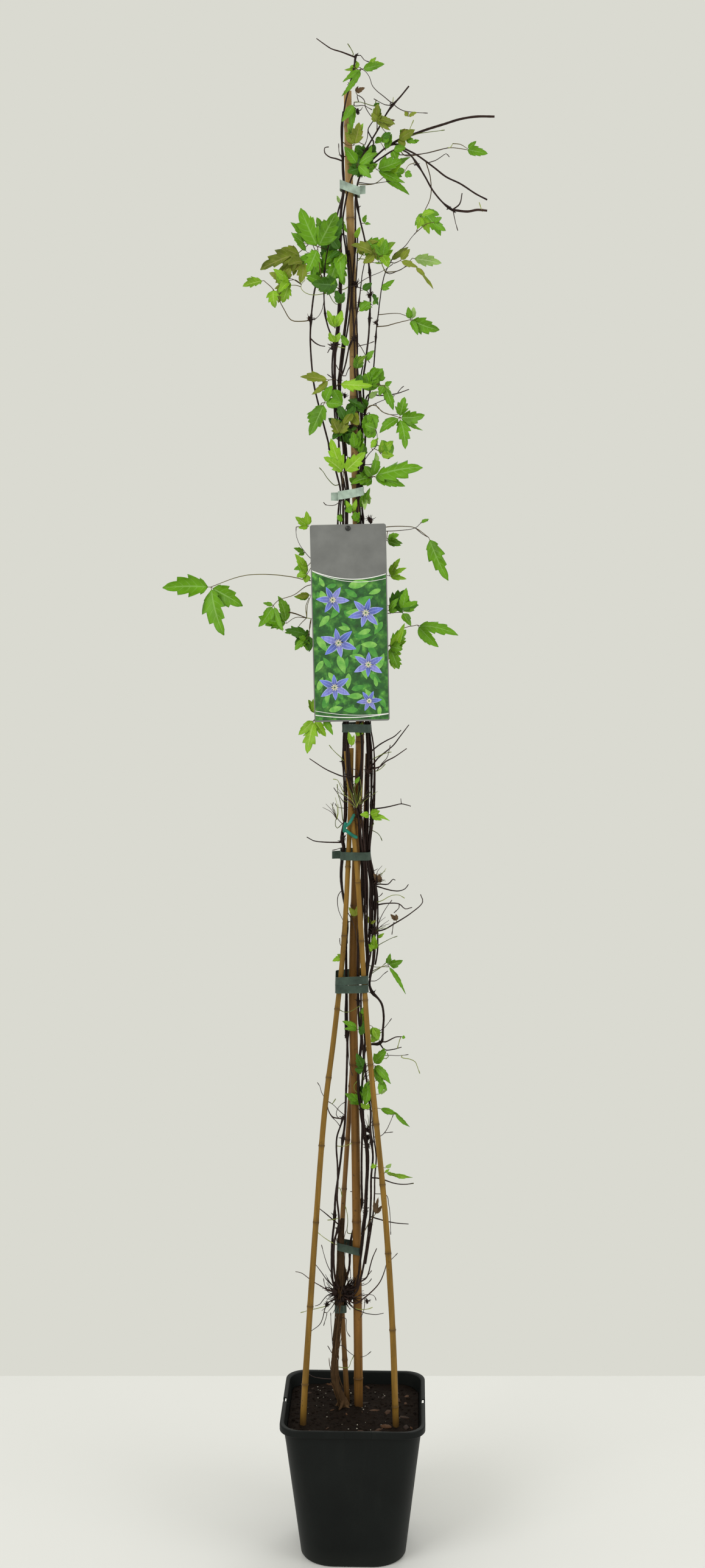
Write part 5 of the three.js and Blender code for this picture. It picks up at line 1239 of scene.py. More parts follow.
CANE_STEP = 6
CANE_SIDES = 20
CANE_BORE_SHARE = 0.45
CANE_BORE_DEPTH = 0.009


def cane_line(spec):
    """The middle line of a cane."""
    return smooth_line(course(spec["path"]), 0.01)


def build_cane(bm, spec, dice):
    """A bamboo cane: its ring stations are crowded at each node, where it swells and darkens."""
    foot_radius, top_radius = spec["radii"]
    path = cane_line(spec)
    foot = path[0].z / MM
    top = path[-1].z / MM
    stations = {}
    height = foot
    while height < top:
        stations[height] = (0.0, 0.0)
        height += CANE_STEP
    stations[top] = (0.0, 0.0)
    for node in spec["nodes"]:
        for near in [z for z in stations if node - 9 < z < node + 11 and z not in (foot, top)]:
            del stations[near]
        for offset, gain, dark in NODE_SHAPE:
            stations[node + offset] = (gain * dice.uniform(0.8, 1.2), dark * dice.uniform(0.6, 1.0))
    line = []
    radii = []
    tones = []
    spot = 0
    for z in sorted(stations):
        while spot < len(path) - 2 and path[spot + 1].z < z * MM:
            spot += 1
        low, high = path[spot], path[spot + 1]
        line.append(low.lerp(high, (z * MM - low.z) / (high.z - low.z)))
        gain, dark = stations[z]
        share = (z - foot) / (top - foot)
        waver = 0.12 * noise.noise(Vector((z / 45, foot_radius, 0)))
        radii.append((foot_radius + (top_radius - foot_radius) * share + gain + waver) * MM)
        # The foot darkens towards the soil: partly a real soil stain, partly painted shade near the soil
        tones.append(max(dark, min(STAIN_AND_SHADE_TONE, STAIN_AND_SHADE_TONE - (z - SOIL_LINE) / STAIN_AND_SHADE_REACH)))
    add_tube(bm, line, radii, CANE_SIDES, 0, tones)
    upper = max((f for f in bm.faces if len(f.verts) > 4), key=lambda f: f.calc_center_median().z)
    bmesh.ops.inset_region(bm, faces=[upper], thickness=radii[-1] * (1 - CANE_BORE_SHARE))
    bored = bmesh.ops.extrude_discrete_faces(bm, faces=[upper])["faces"][0]
    bmesh.ops.translate(bm, verts=list(bored.verts), vec=(0, 0, -CANE_BORE_DEPTH))


# Pot and soil, in metres: the radius of the lip's edge and of the corners at the foot and the rim,
# and how high the soil stands at its edge

BEAD = 0.0016
FOOT_CORNER = 0.045
RIM_CORNER = 0.026
SOIL_EDGE_HEIGHT = 0.183
POT_STEPS = 120
SOIL_CELLS = 96


def wall_reach(sizes, z):
    """How far the pot's inner wall stands from its middle at a height, in metres."""
    half_foot = sizes.foot_side / 2 - 0.001
    half_top = sizes.rim_side / 2 - sizes.lip_reach
    return half_foot + (half_top - half_foot) * z / sizes.height - sizes.wall


def outline(half, angle, z, sizes):
    """The place at an angle on the pot's rounded square of a given half side, at a height."""
    c, s = abs(cos(angle)), abs(sin(angle))
    roundest = FOOT_CORNER + (RIM_CORNER - FOOT_CORNER) * z / sizes.height
    corner = min(half, roundest)
    inner = half - corner
    reach = half / max(c, s)
    if min(c, s) * half > inner * max(c, s):
        to_corner = inner * (c + s)
        reach = to_corner + sqrt(to_corner**2 - 2 * inner**2 + corner**2)
    return Vector((reach * cos(angle), reach * sin(angle), z))


def squared(place, sizes):
    """Draws a round ring's point out to the pot's rounded square, crowding points at its corners."""
    half = hypot(place.x, place.y)
    if half < WELD:
        return place
    turn = atan2(place.y, place.x)
    return outline(half, turn + 0.175 * sin(4 * turn), place.z, sizes)


def build_pot(bm, sizes):
    """The pot: a profile spun into a shell, drawn out to a square."""
    half_foot = sizes.foot_side / 2
    half_rim = sizes.rim_side / 2
    half_wall = half_rim - sizes.lip_reach
    top = sizes.height
    lip_foot = top - sizes.lip_height
    wall = sizes.wall
    profile = [
        (0, 0.0006), (half_foot - 0.014, 0.0006), (half_foot - 0.012, 0), (half_foot - 0.0035, 0),
        (half_foot - 0.001, 0.0008), (half_foot, 0.003),
    ]
    for z in (0.012, 0.035, 0.07, 0.105, 0.14, 0.17):
        profile.append((half_foot + (half_wall - half_foot) * (z - 0.003) / (top - 0.003), z))
    profile += [
        (half_wall - 0.0008, lip_foot - 0.002), (half_wall, top - wall - 0.0006),
        (half_wall + 0.001, top - wall), (half_rim - wall, top - wall), (half_rim - wall, lip_foot),
        (half_rim - 0.0004, lip_foot - 0.0002), (half_rim, lip_foot + 0.0004),
    ]
    for i in range(5):
        turn = pi / 2 * i / 4
        profile.append((half_rim - BEAD * (1 - cos(turn)), top - BEAD * (1 - sin(turn))))
    profile += [(half_wall + 0.0012, top), (half_wall, top - 0.0003), (half_wall - 0.0012, top - 0.0014)]
    for z in (0.19, 0.17, 0.14, 0.105, 0.07, 0.035, 0.006):
        profile.append((wall_reach(sizes, z), z))
    profile += [(wall_reach(sizes, 0.0025) - 0.003, 0.0025), (0, 0.0025)]
    spin_profile(bm, profile, POT_STEPS)
    turn = Matrix.Rotation(sizes.turn, 3, "Z")
    for vert in bm.verts:
        vert.co = turn @ squared(vert.co, sizes)
    face_out(bm)


def pot_cutters(bm, sizes):
    """The blocks that cut the lip's two notches, its flat in front and the drain slots."""
    half_rim = sizes.rim_side / 2
    blocks = []
    for side in (-1, 1):
        blocks.append(((0.0062, 0.012, 0.024), (side * (half_rim - 0.0014), 0, 0.2), 0))
        blocks.append(((0.02, 0.005, 0.004), (side * (half_rim - 0.006), 0, 0.1958), 0))
    blocks.append(((0.036, 0.0016, 0.03), (0.008, -half_rim - 0.0002, 0.2), 0))
    for turn in (45, 135, 225, 315):
        blocks.append(((0.02, 0.012, 0.01), (0.063, 0, 0), radians(turn)))
    for size, place, angle in blocks:
        made = bmesh.ops.create_cube(bm, size=1)["verts"]
        bmesh.ops.scale(bm, verts=made, vec=size)
        bmesh.ops.translate(bm, verts=made, vec=place)
        spin = Matrix.Rotation(angle + sizes.turn, 3, "Z")
        bmesh.ops.rotate(bm, verts=made, cent=(0, 0, 0), matrix=spin)


def soil_height(x, y):
    """The lumpy height of the soil at a place, in metres."""
    near = max(0.0, 1 - hypot(x, y) / 0.095)
    rise = 0.1832 + 0.0066 * near
    coarse = 0.0022 * noise.noise(Vector((x * 38, y * 38, 1)))
    middling = 0.0014 * noise.noise(Vector((x * 95, y * 95, 5)))
    return rise + (coarse + middling) + 0.0007 * noise.noise(Vector((x * 260, y * 260, 9)))


def build_soil(sizes):
    """The soil: a lumpy top on a grid that is bent to the pot's square, and plain sides below."""
    edge = wall_reach(sizes, SOIL_EDGE_HEIGHT) - 0.0008
    foot = 0.003
    turn = Matrix.Rotation(sizes.turn, 3, "Z")

    def place(column, row):
        a = 2 * column / SOIL_CELLS - 1
        b = 2 * row / SOIL_CELLS - 1
        ring = outline(edge, atan2(b, a), SOIL_EDGE_HEIGHT, sizes)
        spot = turn @ (ring * max(abs(a), abs(b)))
        return Vector((spot.x, spot.y, soil_height(spot.x, spot.y)))

    bm = new_patch(SOIL_CELLS, SOIL_CELLS, place)
    for vert in bmesh.ops.extrude_edge_only(bm, edges=open_edges(bm))["geom"]:
        if isinstance(vert, bmesh.types.BMVert):
            angle = atan2(vert.co.y, vert.co.x) - sizes.turn
            vert.co = turn @ outline(wall_reach(sizes, foot) - 0.0012, angle, foot, sizes)
    bmesh.ops.holes_fill(bm, edges=open_edges(bm), sides=0)
    face_out(bm)
    return bm


def add_lump(bm, place, size, dice, rounds, tone, finish=0):
    """A small rough lump with its three half sizes in metres, sunk about half way."""
    part = new_bmesh()
    tones = part.verts.layers.float["tone"]
    made = bmesh.ops.create_icosphere(part, subdivisions=rounds, radius=1)["verts"]
    for vert in made:
        push = 1 + dice.uniform(-0.28, 0.22)
        vert.co = Vector((vert.co.x * size[0], vert.co.y * size[1], vert.co.z * size[2])) * push
        vert[tones] = tone
    spin = Matrix.Rotation(dice.uniform(0, tau), 3, "Z")
    spin = spin @ Matrix.Rotation(dice.uniform(-0.4, 0.4), 3, "X")
    for face in part.faces:
        face.material_index = finish
    bmesh.ops.rotate(part, verts=made, cent=(0, 0, 0), matrix=spin)
    bmesh.ops.translate(part, verts=made, vec=place)
    join(bm, part)


def soil_spot(dice, sizes):
    """A random place on the soil, clear of the pot's wall."""
    reach = wall_reach(sizes, SOIL_EDGE_HEIGHT) - 0.005
    corner = 0.022
    while True:
        x = dice.uniform(-reach, reach)
        y = dice.uniform(-reach, reach)
        if hypot(max(0, abs(x) - reach + corner), max(0, abs(y) - reach + corner)) < corner:
            return x, y, soil_height(x, y)


# Crown: its trunk's course and radii in mm, its roots, its dry stalks and the knot at its head

CROWN_COURSE = """
-10,172,7 -12,193,6 -18,205,5 -24,224,4 -26,250,3 -23.5,285 -21,310 -18.5,345 -17.5,380 -17.5,425 \
-15,452,2
"""
CROWN_RADII = [6.5, 6.0, 4.6, 4.3, 4.1, 4.0, 4.7, 6.2, 4.2, 3.4, 2.2]
ROOTS = """
-14,199,5 -10,191,2 -5,187,-3
-15,200,3 -17,191,-3 -20,186,-8
-12,199,8 -6,192,12 0,189,15
-16,201,8 -22,193,12 -27,188,16
-12,198,4 -9,192,5 -3,189,6
"""
CROWN_STALKS = """
-14,344,-2 2,335,-5 12.7,342,-4 22,350,-2 30,358.5,0 35.3,366.5 40.6,380.5 43.3,391
-20,352,2 -35,353.5,0 -43,358.5 -52.3,364 -60.3,370 -69.6,377 -77.6,379
-20,355,0 -29.7,361,3 -36.4,368,4 -43,378 -51,389
-20,348,0 -33.7,347,-2 -40.4,340.5,-3 -45.7,333.5 -51.7,331.5
-20,344,4 -33,337 -38.4,328 -41.7,314,3 -45.7,305.5 -57,296.5
-14,342,-1 0,328,-5 8.8,324 16.7,321,-4 30,319.5,-2 39.3,321.5,0
"""
KNOT = (-16, 350, 2)


def add_shred(bm, strip, line, radii, dice):
    """One strip of bark that winds up the trunk; every third one peels away."""
    turn = dice.uniform(0, tau)
    first = dice.randint(2, len(line) - 26)
    count = dice.randint(14, 34)
    peel = dice.uniform(0.0015, 0.0075) if strip % 3 == 0 else 0.0
    way = []
    for i in range(first, min(first + count, len(line))):
        share = (i - first) / count
        turn += dice.uniform(-0.1, 0.1)
        out = radii[i] * 1.02 + 0.0004 + peel * max(0.0, abs(share - 0.5) - 0.25) * 4
        way.append(line[i] + Vector((cos(turn), sin(turn), 0)) * out)
    size = tapered(way, 0.0009, 0.0006)
    size[0] = size[-1] = 0.0002
    fade = 1 - 0.6 * (way[0].z - line[0].z) / (line[-1].z - line[0].z)
    add_tube(bm, way, size, 5, 0, dice.uniform(0.5, 1.0) * fade, 0.6)


def add_tangle(bm, dice):
    """The tangle at the crown's head: dark lumps, and short stubs that stick out of them."""
    centre = seen(*KNOT)
    for _ in range(34):
        away = random_vector(dice, (-1, 1), (-0.6, 0.6), (-0.8, 0.9))
        place = centre + Vector((away.x * 0.0125, away.y * 0.007, away.z * 0.012))
        half = dice.uniform(0.002, 0.0045)
        add_lump(bm, place, (half, half * 0.8, half * 1.3), dice, 2, dice.uniform(0, 0.3), 1)
    for _ in range(110):
        away = random_vector(dice, (-1, 1), (-0.5, 0.5), (-0.75, 1)).normalized()
        begin = centre + Vector((away.x * 0.009, away.y * 0.005, away.z * 0.009))
        reach = dice.uniform(0.008, 0.025)
        middle = begin + away * reach * 0.5 + Vector((0, 0, dice.uniform(-0.003, 0.003)))
        tip = begin + away * reach + Vector((0, 0, dice.uniform(-0.004, 0.007)))
        way = smooth_line([begin, middle, tip])
        add_tube(bm, way, tapered(way, dice.uniform(0.0005, 0.0011), 0.0003), 5, 1, dice.uniform(0, 0.6))


def build_crown(bm, dice):
    """The crown: a knotted trunk in shreds of bark, its roots, and the tangle at its head."""
    line = smooth_line(course(CROWN_COURSE))
    radii = []
    for point in line:
        share = (point.z - line[0].z) / (line[-1].z - line[0].z) * (len(CROWN_RADII) - 1)
        low = min(int(share), len(CROWN_RADII) - 2)
        radii.append((CROWN_RADII[low] + (CROWN_RADII[low + 1] - CROWN_RADII[low]) * (share - low)) * MM)
    add_tube(bm, line, radii, 18, 0, tapered(line, 0.6, 0.1))
    for vert in bm.verts:
        grain = Vector((vert.co.x, vert.co.y, vert.co.z * 0.3))
        rough = noise.noise(vert.co * 160) + 0.6 * noise.noise(grain * 700)
        near = min(line, key=lambda p: (p - vert.co).length)
        vert.co += (vert.co - near).normalized() * rough * 0.0011
    TRAIL.keep(line)
    for root in courses(ROOTS):
        way = smooth_line(root, 0.002)
        add_tube(bm, way, tapered(way, 0.0032, 0.0012), 8, 0, 0.6)
    for strip in range(30):
        add_shred(bm, strip, line, radii, dice)
    add_tangle(bm, dice)
    thick = 0.0011
    for stalk in courses(CROWN_STALKS):
        way = smooth_line(stalk)
        TRAIL.keep(way)
        add_tube(bm, way, tapered(way, thick, thick * 0.55), 7, 1, dice.uniform(0.1, 0.9))
        thick = 0.0008


# Tapes, in mm: the finish; the bands, each with its left, right, front, back, height and slope; and
# the loose ends, each with its start, stop, depth, height and slope

TAPES = {
    "tie_1": ("pale", [(-17.6, 7.2, -17.4, 6.8, 1769, -0.35)], [(6.8, 14, 2, 1769, 0.1)]),
    "tie_2": ("pale", [(-20.2, 12.2, -17, 8.6, 1399, 0.18)], [(-29, -19.8, -4, 1395, 0)]),
    "tie_3": ("green", [(-15.3, 21.6, -17.8, 10.6, 1104, 0)], []),
    "tie_4": ("green", [(-17.8, 21.2, -18.6, 17.6, 940, 0)], [(-28, -17.4, -6, 940, 0)]),
    "tie_5": (
        "green", [(-24, 18.4, -26, 20.2, 779, 0.07), (-24.3, 18.7, -26.3, 20.5, 768, 0.04)], [],
    ),
    "tie_6": ("green", [(-22.6, 10.3, -1.9, 20.8, 410, -0.22)], []),
    "tie_7": ("green", [(-25.8, -9.9, -1.9, 20.5, 327, 0)], []),
}
TAPE_CORNER = 4.5
BAND_STEPS = 96
TAPE_END_STEPS = 14
TAPE_ROWS = 5


def loop_spot(left, right, front, back, share):
    """The place (x, y), in mm, at a share of the way round a rounded slot."""
    r = TAPE_CORNER
    wide, deep = right - left - 2 * r, back - front - 2 * r
    arc = pi / 2 * r
    run = share % 1 * (2 * wide + 2 * deep + 4 * arc)
    pieces = [(left + r, front, 1, 0, wide), (right, front + r, 0, 1, deep),
        (right - r, back, -1, 0, wide), (left, back - r, 0, -1, deep)]
    for x, y, dx, dy, straight in pieces:
        if run <= straight:
            return x + dx * run, y + dy * run
        run -= straight
        if run <= arc:
            turn = run / r
            end_x, end_y = x + dx * straight, y + dy * straight
            bow = sin(turn) * r
            rise = (1 - cos(turn)) * r
            return end_x + dx * bow - dy * rise, end_y + dy * bow + dx * rise
        run -= arc
    return left + r, front


def add_band(bm, band, sizes, dice):
    """One turn of tape round what it holds, slightly slack and creased."""
    left, right, front, back, height, rise = band
    phase = dice.uniform(0, tau)

    def place(column, row):
        share = column % BAND_STEPS / BAND_STEPS
        x, y = loop_spot(left, right, front, back, share)
        up = row / TAPE_ROWS - 0.5
        slack = 0.25 * sin(tau * 3 * share + phase) * (1 - 2 * abs(up))
        cup = 0.35 * (4 * up * up - 0.5)
        middle_x, middle_y = (left + right) / 2, (front + back) / 2
        out = Vector((x - middle_x, y - middle_y, 0)).normalized() * (slack + cup)
        z = height + rise * (x - middle_x) + up * sizes.width / MM
        z += 0.35 * sin(tau * 2 * share + phase)
        return Vector((x + out.x, y + out.y, z)) * MM

    add_sheet(bm, BAND_STEPS, TAPE_ROWS, place, sizes.thickness, ring=True)


def add_tape_end(bm, end, sizes, dice):
    """A loose end that stands out to the side and curls a little."""
    start, stop, depth, height, rise = end
    curl = dice.choice((-1, 1)) * dice.uniform(1.5, 3.0)

    def place(column, row):
        share = column / TAPE_END_STEPS
        up = row / TAPE_ROWS - 0.5
        x = start + (stop - start) * share
        away = share if stop - start > 0 and abs(stop) > abs(start) else 1 - share
        y = depth + curl * away * away
        z = height + rise * (x - start) + up * sizes.width / MM * (1 - 0.06 * away)
        return Vector((x, y, z)) * MM

    add_sheet(bm, TAPE_END_STEPS, TAPE_ROWS, place, sizes.thickness)


# Label card: sizes in mm, and each flower's middle (across and up) and reach

LABEL_MIDDLE = (-5.2, 1236, -22)
LABEL_LEAN = 0.022
LABEL_BOW = 2.2
CARD_THICKNESS = 0.6
CARD_CORNER = 3
HOLE_RISE = 118.5
HOLE_RADIUS = 1.8
PICTURE_FOOT = -121.5
PICTURE_HALF_WIDTH = 46.2
FLOWERS = [(-21, 30, 20), (20, 13, 22), (-15, -24, 23), (22, -52, 20), (-21, -80, 21), (22, -98, 15)]

# How far, in mm, each printed layer stands off the card's front

GROUND_LIFT = 0.08
LEAF_LIFTS = (0.2, 0.32, 0.44)
PETAL_LIFT = 0.56
CENTRE_LIFT = 0.68
PRINT_THICKNESS = 0.05


def card_place(across, up, lift):
    """The place on the card, in metres, from mm across and up from its middle and off its front."""
    middle = seen(*LABEL_MIDDLE) / MM
    bow = LABEL_BOW * (1 - (up / 124) ** 2)
    x = middle.x + across - LABEL_LEAN * up
    z = middle.z + up + LABEL_LEAN * across
    return Vector((x, middle.y - CARD_THICKNESS - lift - bow, z)) * MM


def picture_across(share):
    """How far across the card's middle a share of the picture's width is."""
    return -PICTURE_HALF_WIDTH + 2 * PICTURE_HALF_WIDTH * share


def picture_head(across):
    """Where the picture's top edge runs: a shallow dip between the card's sides."""
    return 56 + 9 * (across / 47.5) ** 2 - 3 * across / 47.5


def build_card(bm, sizes):
    """The card: a rounded plate with its hole, cut across at intervals so that it can bow."""
    half_wide = sizes.width / MM / 2
    half_tall = sizes.height / MM / 2
    outer = bmesh.ops.create_grid(bm, x_segments=1, y_segments=1, size=1)["verts"]
    bmesh.ops.scale(bm, verts=outer, vec=(half_wide, half_tall, 1))
    bmesh.ops.bevel(
        bm, geom=outer, offset=CARD_CORNER, offset_type="OFFSET", affect="VERTICES", segments=6,
        profile=0.5, material=-1,
    )
    bmesh.ops.delete(bm, geom=list(bm.faces), context="FACES_KEEP_BOUNDARY")
    hole = Matrix.Translation((0, HOLE_RISE, 0))
    bmesh.ops.create_circle(bm, cap_ends=False, segments=24, radius=HOLE_RADIUS, matrix=hole)
    bmesh.ops.triangle_fill(bm, edges=list(bm.edges), use_beauty=True, normal=(0, 0, 1))
    for i in range(-10, 11):
        geom = [*bm.verts, *bm.edges, *bm.faces]
        bmesh.ops.bisect_plane(bm, geom=geom, dist=1e-5, plane_co=(0, i * 11.5, 0), plane_no=(0, 1, 0))
    for vert in bm.verts:
        vert.co = card_place(vert.co.x, vert.co.y, 0)
    face_out(bm)
    if sum(f.normal.y for f in bm.faces) > 0:
        bmesh.ops.reverse_faces(bm, faces=bm.faces)
    thicken(bm, CARD_THICKNESS * MM, 0)


def add_print(bm, columns, rows, spot, lift, finish, tone=0.5):
    """A thin printed shape on the card: spot(column, row) gives mm across and up."""

    def place(column, row):
        across, up = spot(column, row)
        return card_place(across, up, lift)

    add_sheet(bm, columns, rows, place, PRINT_THICKNESS * MM, finish, finish, tone)


def add_printed_blade(bm, middle, length, width, angle, lift, finish, tone, bulge=0.8):
    """A printed leaf or petal: a pointed oval that starts at its middle point and runs at an angle."""
    c, s = cos(angle), sin(angle)

    def spot(column, row):
        share = row / 10
        half = width / 2 * max(0.04, sin(pi * share**bulge) ** 0.8)
        out = (1 - column / 4 * 2) * half
        return middle[0] + c * share * length - s * out, middle[1] + s * share * length + c * out

    add_print(bm, 4, 10, spot, lift, finish, tone)


def build_picture(bm, dice):
    """The label's picture: star-shaped blue flowers on leaves, and fine white rules."""
    foot = PICTURE_FOOT

    def ground(column, row):
        across = picture_across(column / 12)
        return across, foot + (picture_head(across) - foot) * row / 30

    add_print(bm, 12, 30, ground, GROUND_LIFT, 1)
    for finish, lift in zip((2, 3, 4), LEAF_LIFTS):
        taken = []
        for _ in range(150):
            middle = Vector((dice.uniform(-43, 43), dice.uniform(foot + 4, 50)))
            length = dice.uniform(13, 27)
            angle = dice.uniform(0, tau)
            centre = middle + Vector((cos(angle), sin(angle))) * length / 2
            tip = 2 * centre - middle
            if abs(tip.x) > 45 or not foot + 1 < tip.y < picture_head(tip.x) - 4:
                continue
            if any((centre - other).length < 0.45 * (length + span) for other, span in taken):
                continue
            taken.append((centre, length))
            add_printed_blade(bm, middle, length, length * 0.4, angle, lift, finish, dice.random())
    for x, y, reach in FLOWERS:
        spin = dice.uniform(0, 1)
        for petal in range(6):
            angle = spin + tau * petal / 6
            size = reach * (0.72 + 0.28 * abs(cos(angle)))
            start = (x + cos(angle), y + sin(angle))
            add_printed_blade(bm, start, size, size * 0.42, angle, PETAL_LIFT, 5, dice.random(), 0.7)
        for bead in range(9):
            angle = tau * bead / 9
            start = (x + cos(angle), y + sin(angle))
            add_printed_blade(bm, start, reach * 0.18, 1.1, angle, CENTRE_LIFT, 6, 0.5)
    for drop, wide in ((0.0, 1.1), (3.2, 0.6)):

        def top_rule(column, row):
            across = picture_across(column / 24)
            return across, picture_head(across) - drop * (1 + across / 60) - wide * (1 - row)

        def foot_rule(column, row):
            across = picture_across(column / 24)
            return across, foot + 2.5 + drop * (1 - across / 60) + 4 * (across / 47) ** 2 + wide * row

        add_print(bm, 24, 1, top_rule, CENTRE_LIFT, 7)
        add_print(bm, 24, 1, foot_rule, CENTRE_LIFT, 7)


# Peg and plant tie: profiles as (reach, rise), and the tie's turn, tail and knot with their radii

PEG_PROFILE = [
    (0, 2.2), (1.9, 2.0), (2.9, 1.5), (3.3, 0.9), (3.2, 0.3), (2.7, 0.0), (1.5, -0.3), (1.5, -4.5),
]
PEG_COLLAR = [(5.6, -2.5), (6.9, -2.5), (7.2, -2.1), (7.2, 2.1), (6.9, 2.5), (5.6, 2.5)]
PLANT_TIE = [
    ("-12,972,-17.4 -6,967,-19 0,963,-18.6 4.4,961,-17.9", 2.2),
    ("-12,975,-17.4 -6,980,-18.8 -3,985,-18.8 0.4,992,-18", 2.0),
    ("-12.6,968,-17 -12.2,975,-18 -10.5,981,-18.4", 2.3),
]


def add_spun(bm, profile, steps, matrix, closed=False):
    """Adds a profile of (reach, rise), in mm, spun round the upright and moved by a matrix."""
    part = new_bmesh()
    spin_profile(part, [(reach * MM, rise * MM) for reach, rise in profile], steps, closed)
    bmesh.ops.transform(part, matrix=matrix, verts=part.verts)
    bmesh.ops.holes_fill(part, edges=open_edges(part), sides=0)
    join(bm, part)


def build_peg(bm):
    """The peg: its domed head and pin in the card's hole, and its collar on the tall cane."""
    place = card_place(0, HOLE_RISE, 0)
    turn = Matrix.Rotation(pi / 2, 4, "X")
    add_spun(bm, PEG_PROFILE, 24, Matrix.Translation(place) @ turn)
    held = min(cane_line(CANES["cane_tall"]), key=lambda p: abs(p.z - place.z))
    middle = Vector((held.x, held.y, place.z))
    add_spun(bm, PEG_COLLAR, 32, Matrix.Translation(middle), True)
    back = place + Vector((0, 0.004, 0))
    reach = middle + (back - middle).normalized() * 0.0064
    add_tube(bm, [back, back.lerp(reach, 0.5), reach], [0.0015] * 3, 12)
    face_out(bm)


# Settings a user would change


def metres(name, description, default):
    """A length setting in metres."""
    return FloatProperty(name=name, description=description, default=default, min=0.0, unit="LENGTH")


def tint(name, description, text):
    """A colour setting from a screen colour such as 55922a."""
    return FloatVectorProperty(
        name=name, description=description, default=paint(text)[:3], size=3, min=0, max=1,
        subtype="COLOR",
    )


class PotSettings(bpy.types.PropertyGroup):
    """Sizes and colour of the square pot"""

    height: metres("Height", "Height of the pot over its rim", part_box("pot")[1][2])
    rim_side: metres("Rim side", "Side of the square rim, over the rolled lip", 0.19)
    foot_side: metres("Foot side", "Side of the square foot", 0.14)
    lip_height: metres("Lip height", "How far the rolled lip hangs down outside", 0.009)
    lip_reach: metres("Lip reach", "How far the rolled lip stands out from the wall", 0.0042)
    wall: metres("Wall", "Thickness of the moulded wall", 0.0018)
    turn: FloatProperty(name="Turn", description="Turn about the upright", default=-0.03, unit="ROTATION")
    colour: tint("Colour", "Colour of the pot's plastic", "121514")


class SoilSettings(bpy.types.PropertyGroup):
    """What lies in the pot"""

    crumbs: IntProperty(name="Crumbs", description="Number of loose crumbs of soil", default=620, min=0)
    perlite: IntProperty(name="Perlite", description="Number of white perlite grains", default=60, min=0)
    chips: IntProperty(name="Bark chips", description="Number of bark chips", default=26, min=0)
    colour: tint("Colour", "Colour of the moist soil", "1a130e")


class CaneSettings(bpy.types.PropertyGroup):
    """Looks of the bamboo canes"""

    tall: tint("Tall cane", "Colour of the tall middle cane", "785322")
    golden: tint("Outer canes", "Colour of the left and right canes", "7e5e22")
    back: tint("Back cane", "Colour of the back cane", "7a5930")
    ring: tint("Node ring", "Colour of the dark ring at each node", "2c1c12")


class VineSettings(bpy.types.PropertyGroup):
    """Sizes and colours of the vines, the crown and the old stalks"""

    foot_radius: metres("Vine radius at the foot", "Radius of each vine where it leaves the crown", 0.0015)
    tip_radius: metres("Vine radius at the tip", "Radius of each vine at its tip", 0.00105)
    branch_radius: metres("Branch radius", "Radius of a branch where it leaves its vine", 0.00105)
    stalk_radius: metres("Old stalk radius", "Radius of an old leaf stalk at its foot", 0.00062)
    bark: tint("Bark", "Colour of the vines' bark", "2a1b16")
    crown: tint("Crown", "Colour of the crown's shredding bark", "4f3a24")


class LeafSettings(bpy.types.PropertyGroup):
    """Sizes and colours of the leaves"""

    thickness: metres("Thickness", "Thickness of a leaf", 0.0004)
    stalk_radius: metres("Stalk radius", "Radius of a leaf stalk at the vine", 0.0007)
    fold: FloatProperty(name="Fold", description="How far a leaf folds on its midrib", default=0.22)
    fresh: tint("Fresh green", "Colour of most leaves", "5a8a12")
    bright: tint("Bright green", "Colour of the youngest leaves", "76a01c")
    olive: tint("Olive", "Colour of leaves that turn brownish", "6f7d22")
    pale: tint("Pale green", "Colour of leaves that show their pale side", "8fae5e")
    # Dark green is partly the leaves' own darker colour and partly painted shade, for leaves inside the
    # shaded tangle
    dark: tint("Dark green", "Colour of the oldest leaves", "38620f")
    dry: tint("Dry brown", "Colour of the dry leaf", "58452f")


class TapeSettings(bpy.types.PropertyGroup):
    """Sizes and colours of the ties"""

    width: metres("Width", "Width of the tying tape", 0.0105)
    thickness: metres("Thickness", "Thickness of the tying tape", 0.0005)
    pale: tint("Pale tape", "Colour of the two upper tapes", "97a89b")
    green: tint("Green tape", "Colour of the lower tapes", "35453b")
    cord: tint("Plant tie", "Colour of the soft plant tie", "0f6f5c")


class LabelSettings(bpy.types.PropertyGroup):
    """Sizes and colours of the picture label and its peg"""

    width: metres("Width", "Width of the card", 0.095)
    height: metres("Height", "Height of the card", 0.247)
    band: tint("Band", "Colour of the card's plain bands", "6d6e6c")
    petal: tint("Petals", "Colour of the printed petals", "4c60b0")
    peg: tint("Peg", "Colour of the peg", "141414")


class StageSettings(bpy.types.PropertyGroup):
    """Floor, background and light"""

    floor: tint("Floor", "Colour of the floor", "dcdcda")
    wall: tint("Background", "Colour of the background", "dadad1")
    light: FloatProperty(name="Light", description="Strength of the lights", default=1.0, min=0)


SETTINGS = {
    "clematis_pot": PotSettings,
    "clematis_soil": SoilSettings,
    "clematis_canes": CaneSettings,
    "clematis_vines": VineSettings,
    "clematis_leaves": LeafSettings,
    "clematis_tapes": TapeSettings,
    "clematis_label": LabelSettings,
    "clematis_stage": StageSettings,
}


# The stage: sizes in metres, and each light's name, place, size and power

FLOOR_HALF_WIDTH = 1.6
FLOOR_FRONT = -1.6
FLOOR_BACK = 0.52
SENSOR = 36.0
LIGHTS = [
    ("light_left", (-1.9, -2.0, 2.6), (1.6, 2.0), 42),
    ("light_right", (2.1, -1.4, 1.6), (1.4, 2.2), 20),
    ("light_back", (0.4, 2.2, 2.6), (2.0, 1.4), 26),
]


# Operators


def vine_finish(sizes):
    """The bark of vines and old stalks."""
    body = sizes.bark
    return bark_finish("vine_bark", toned(body, 0.35), body, toned(body, 2.6), 0.55)


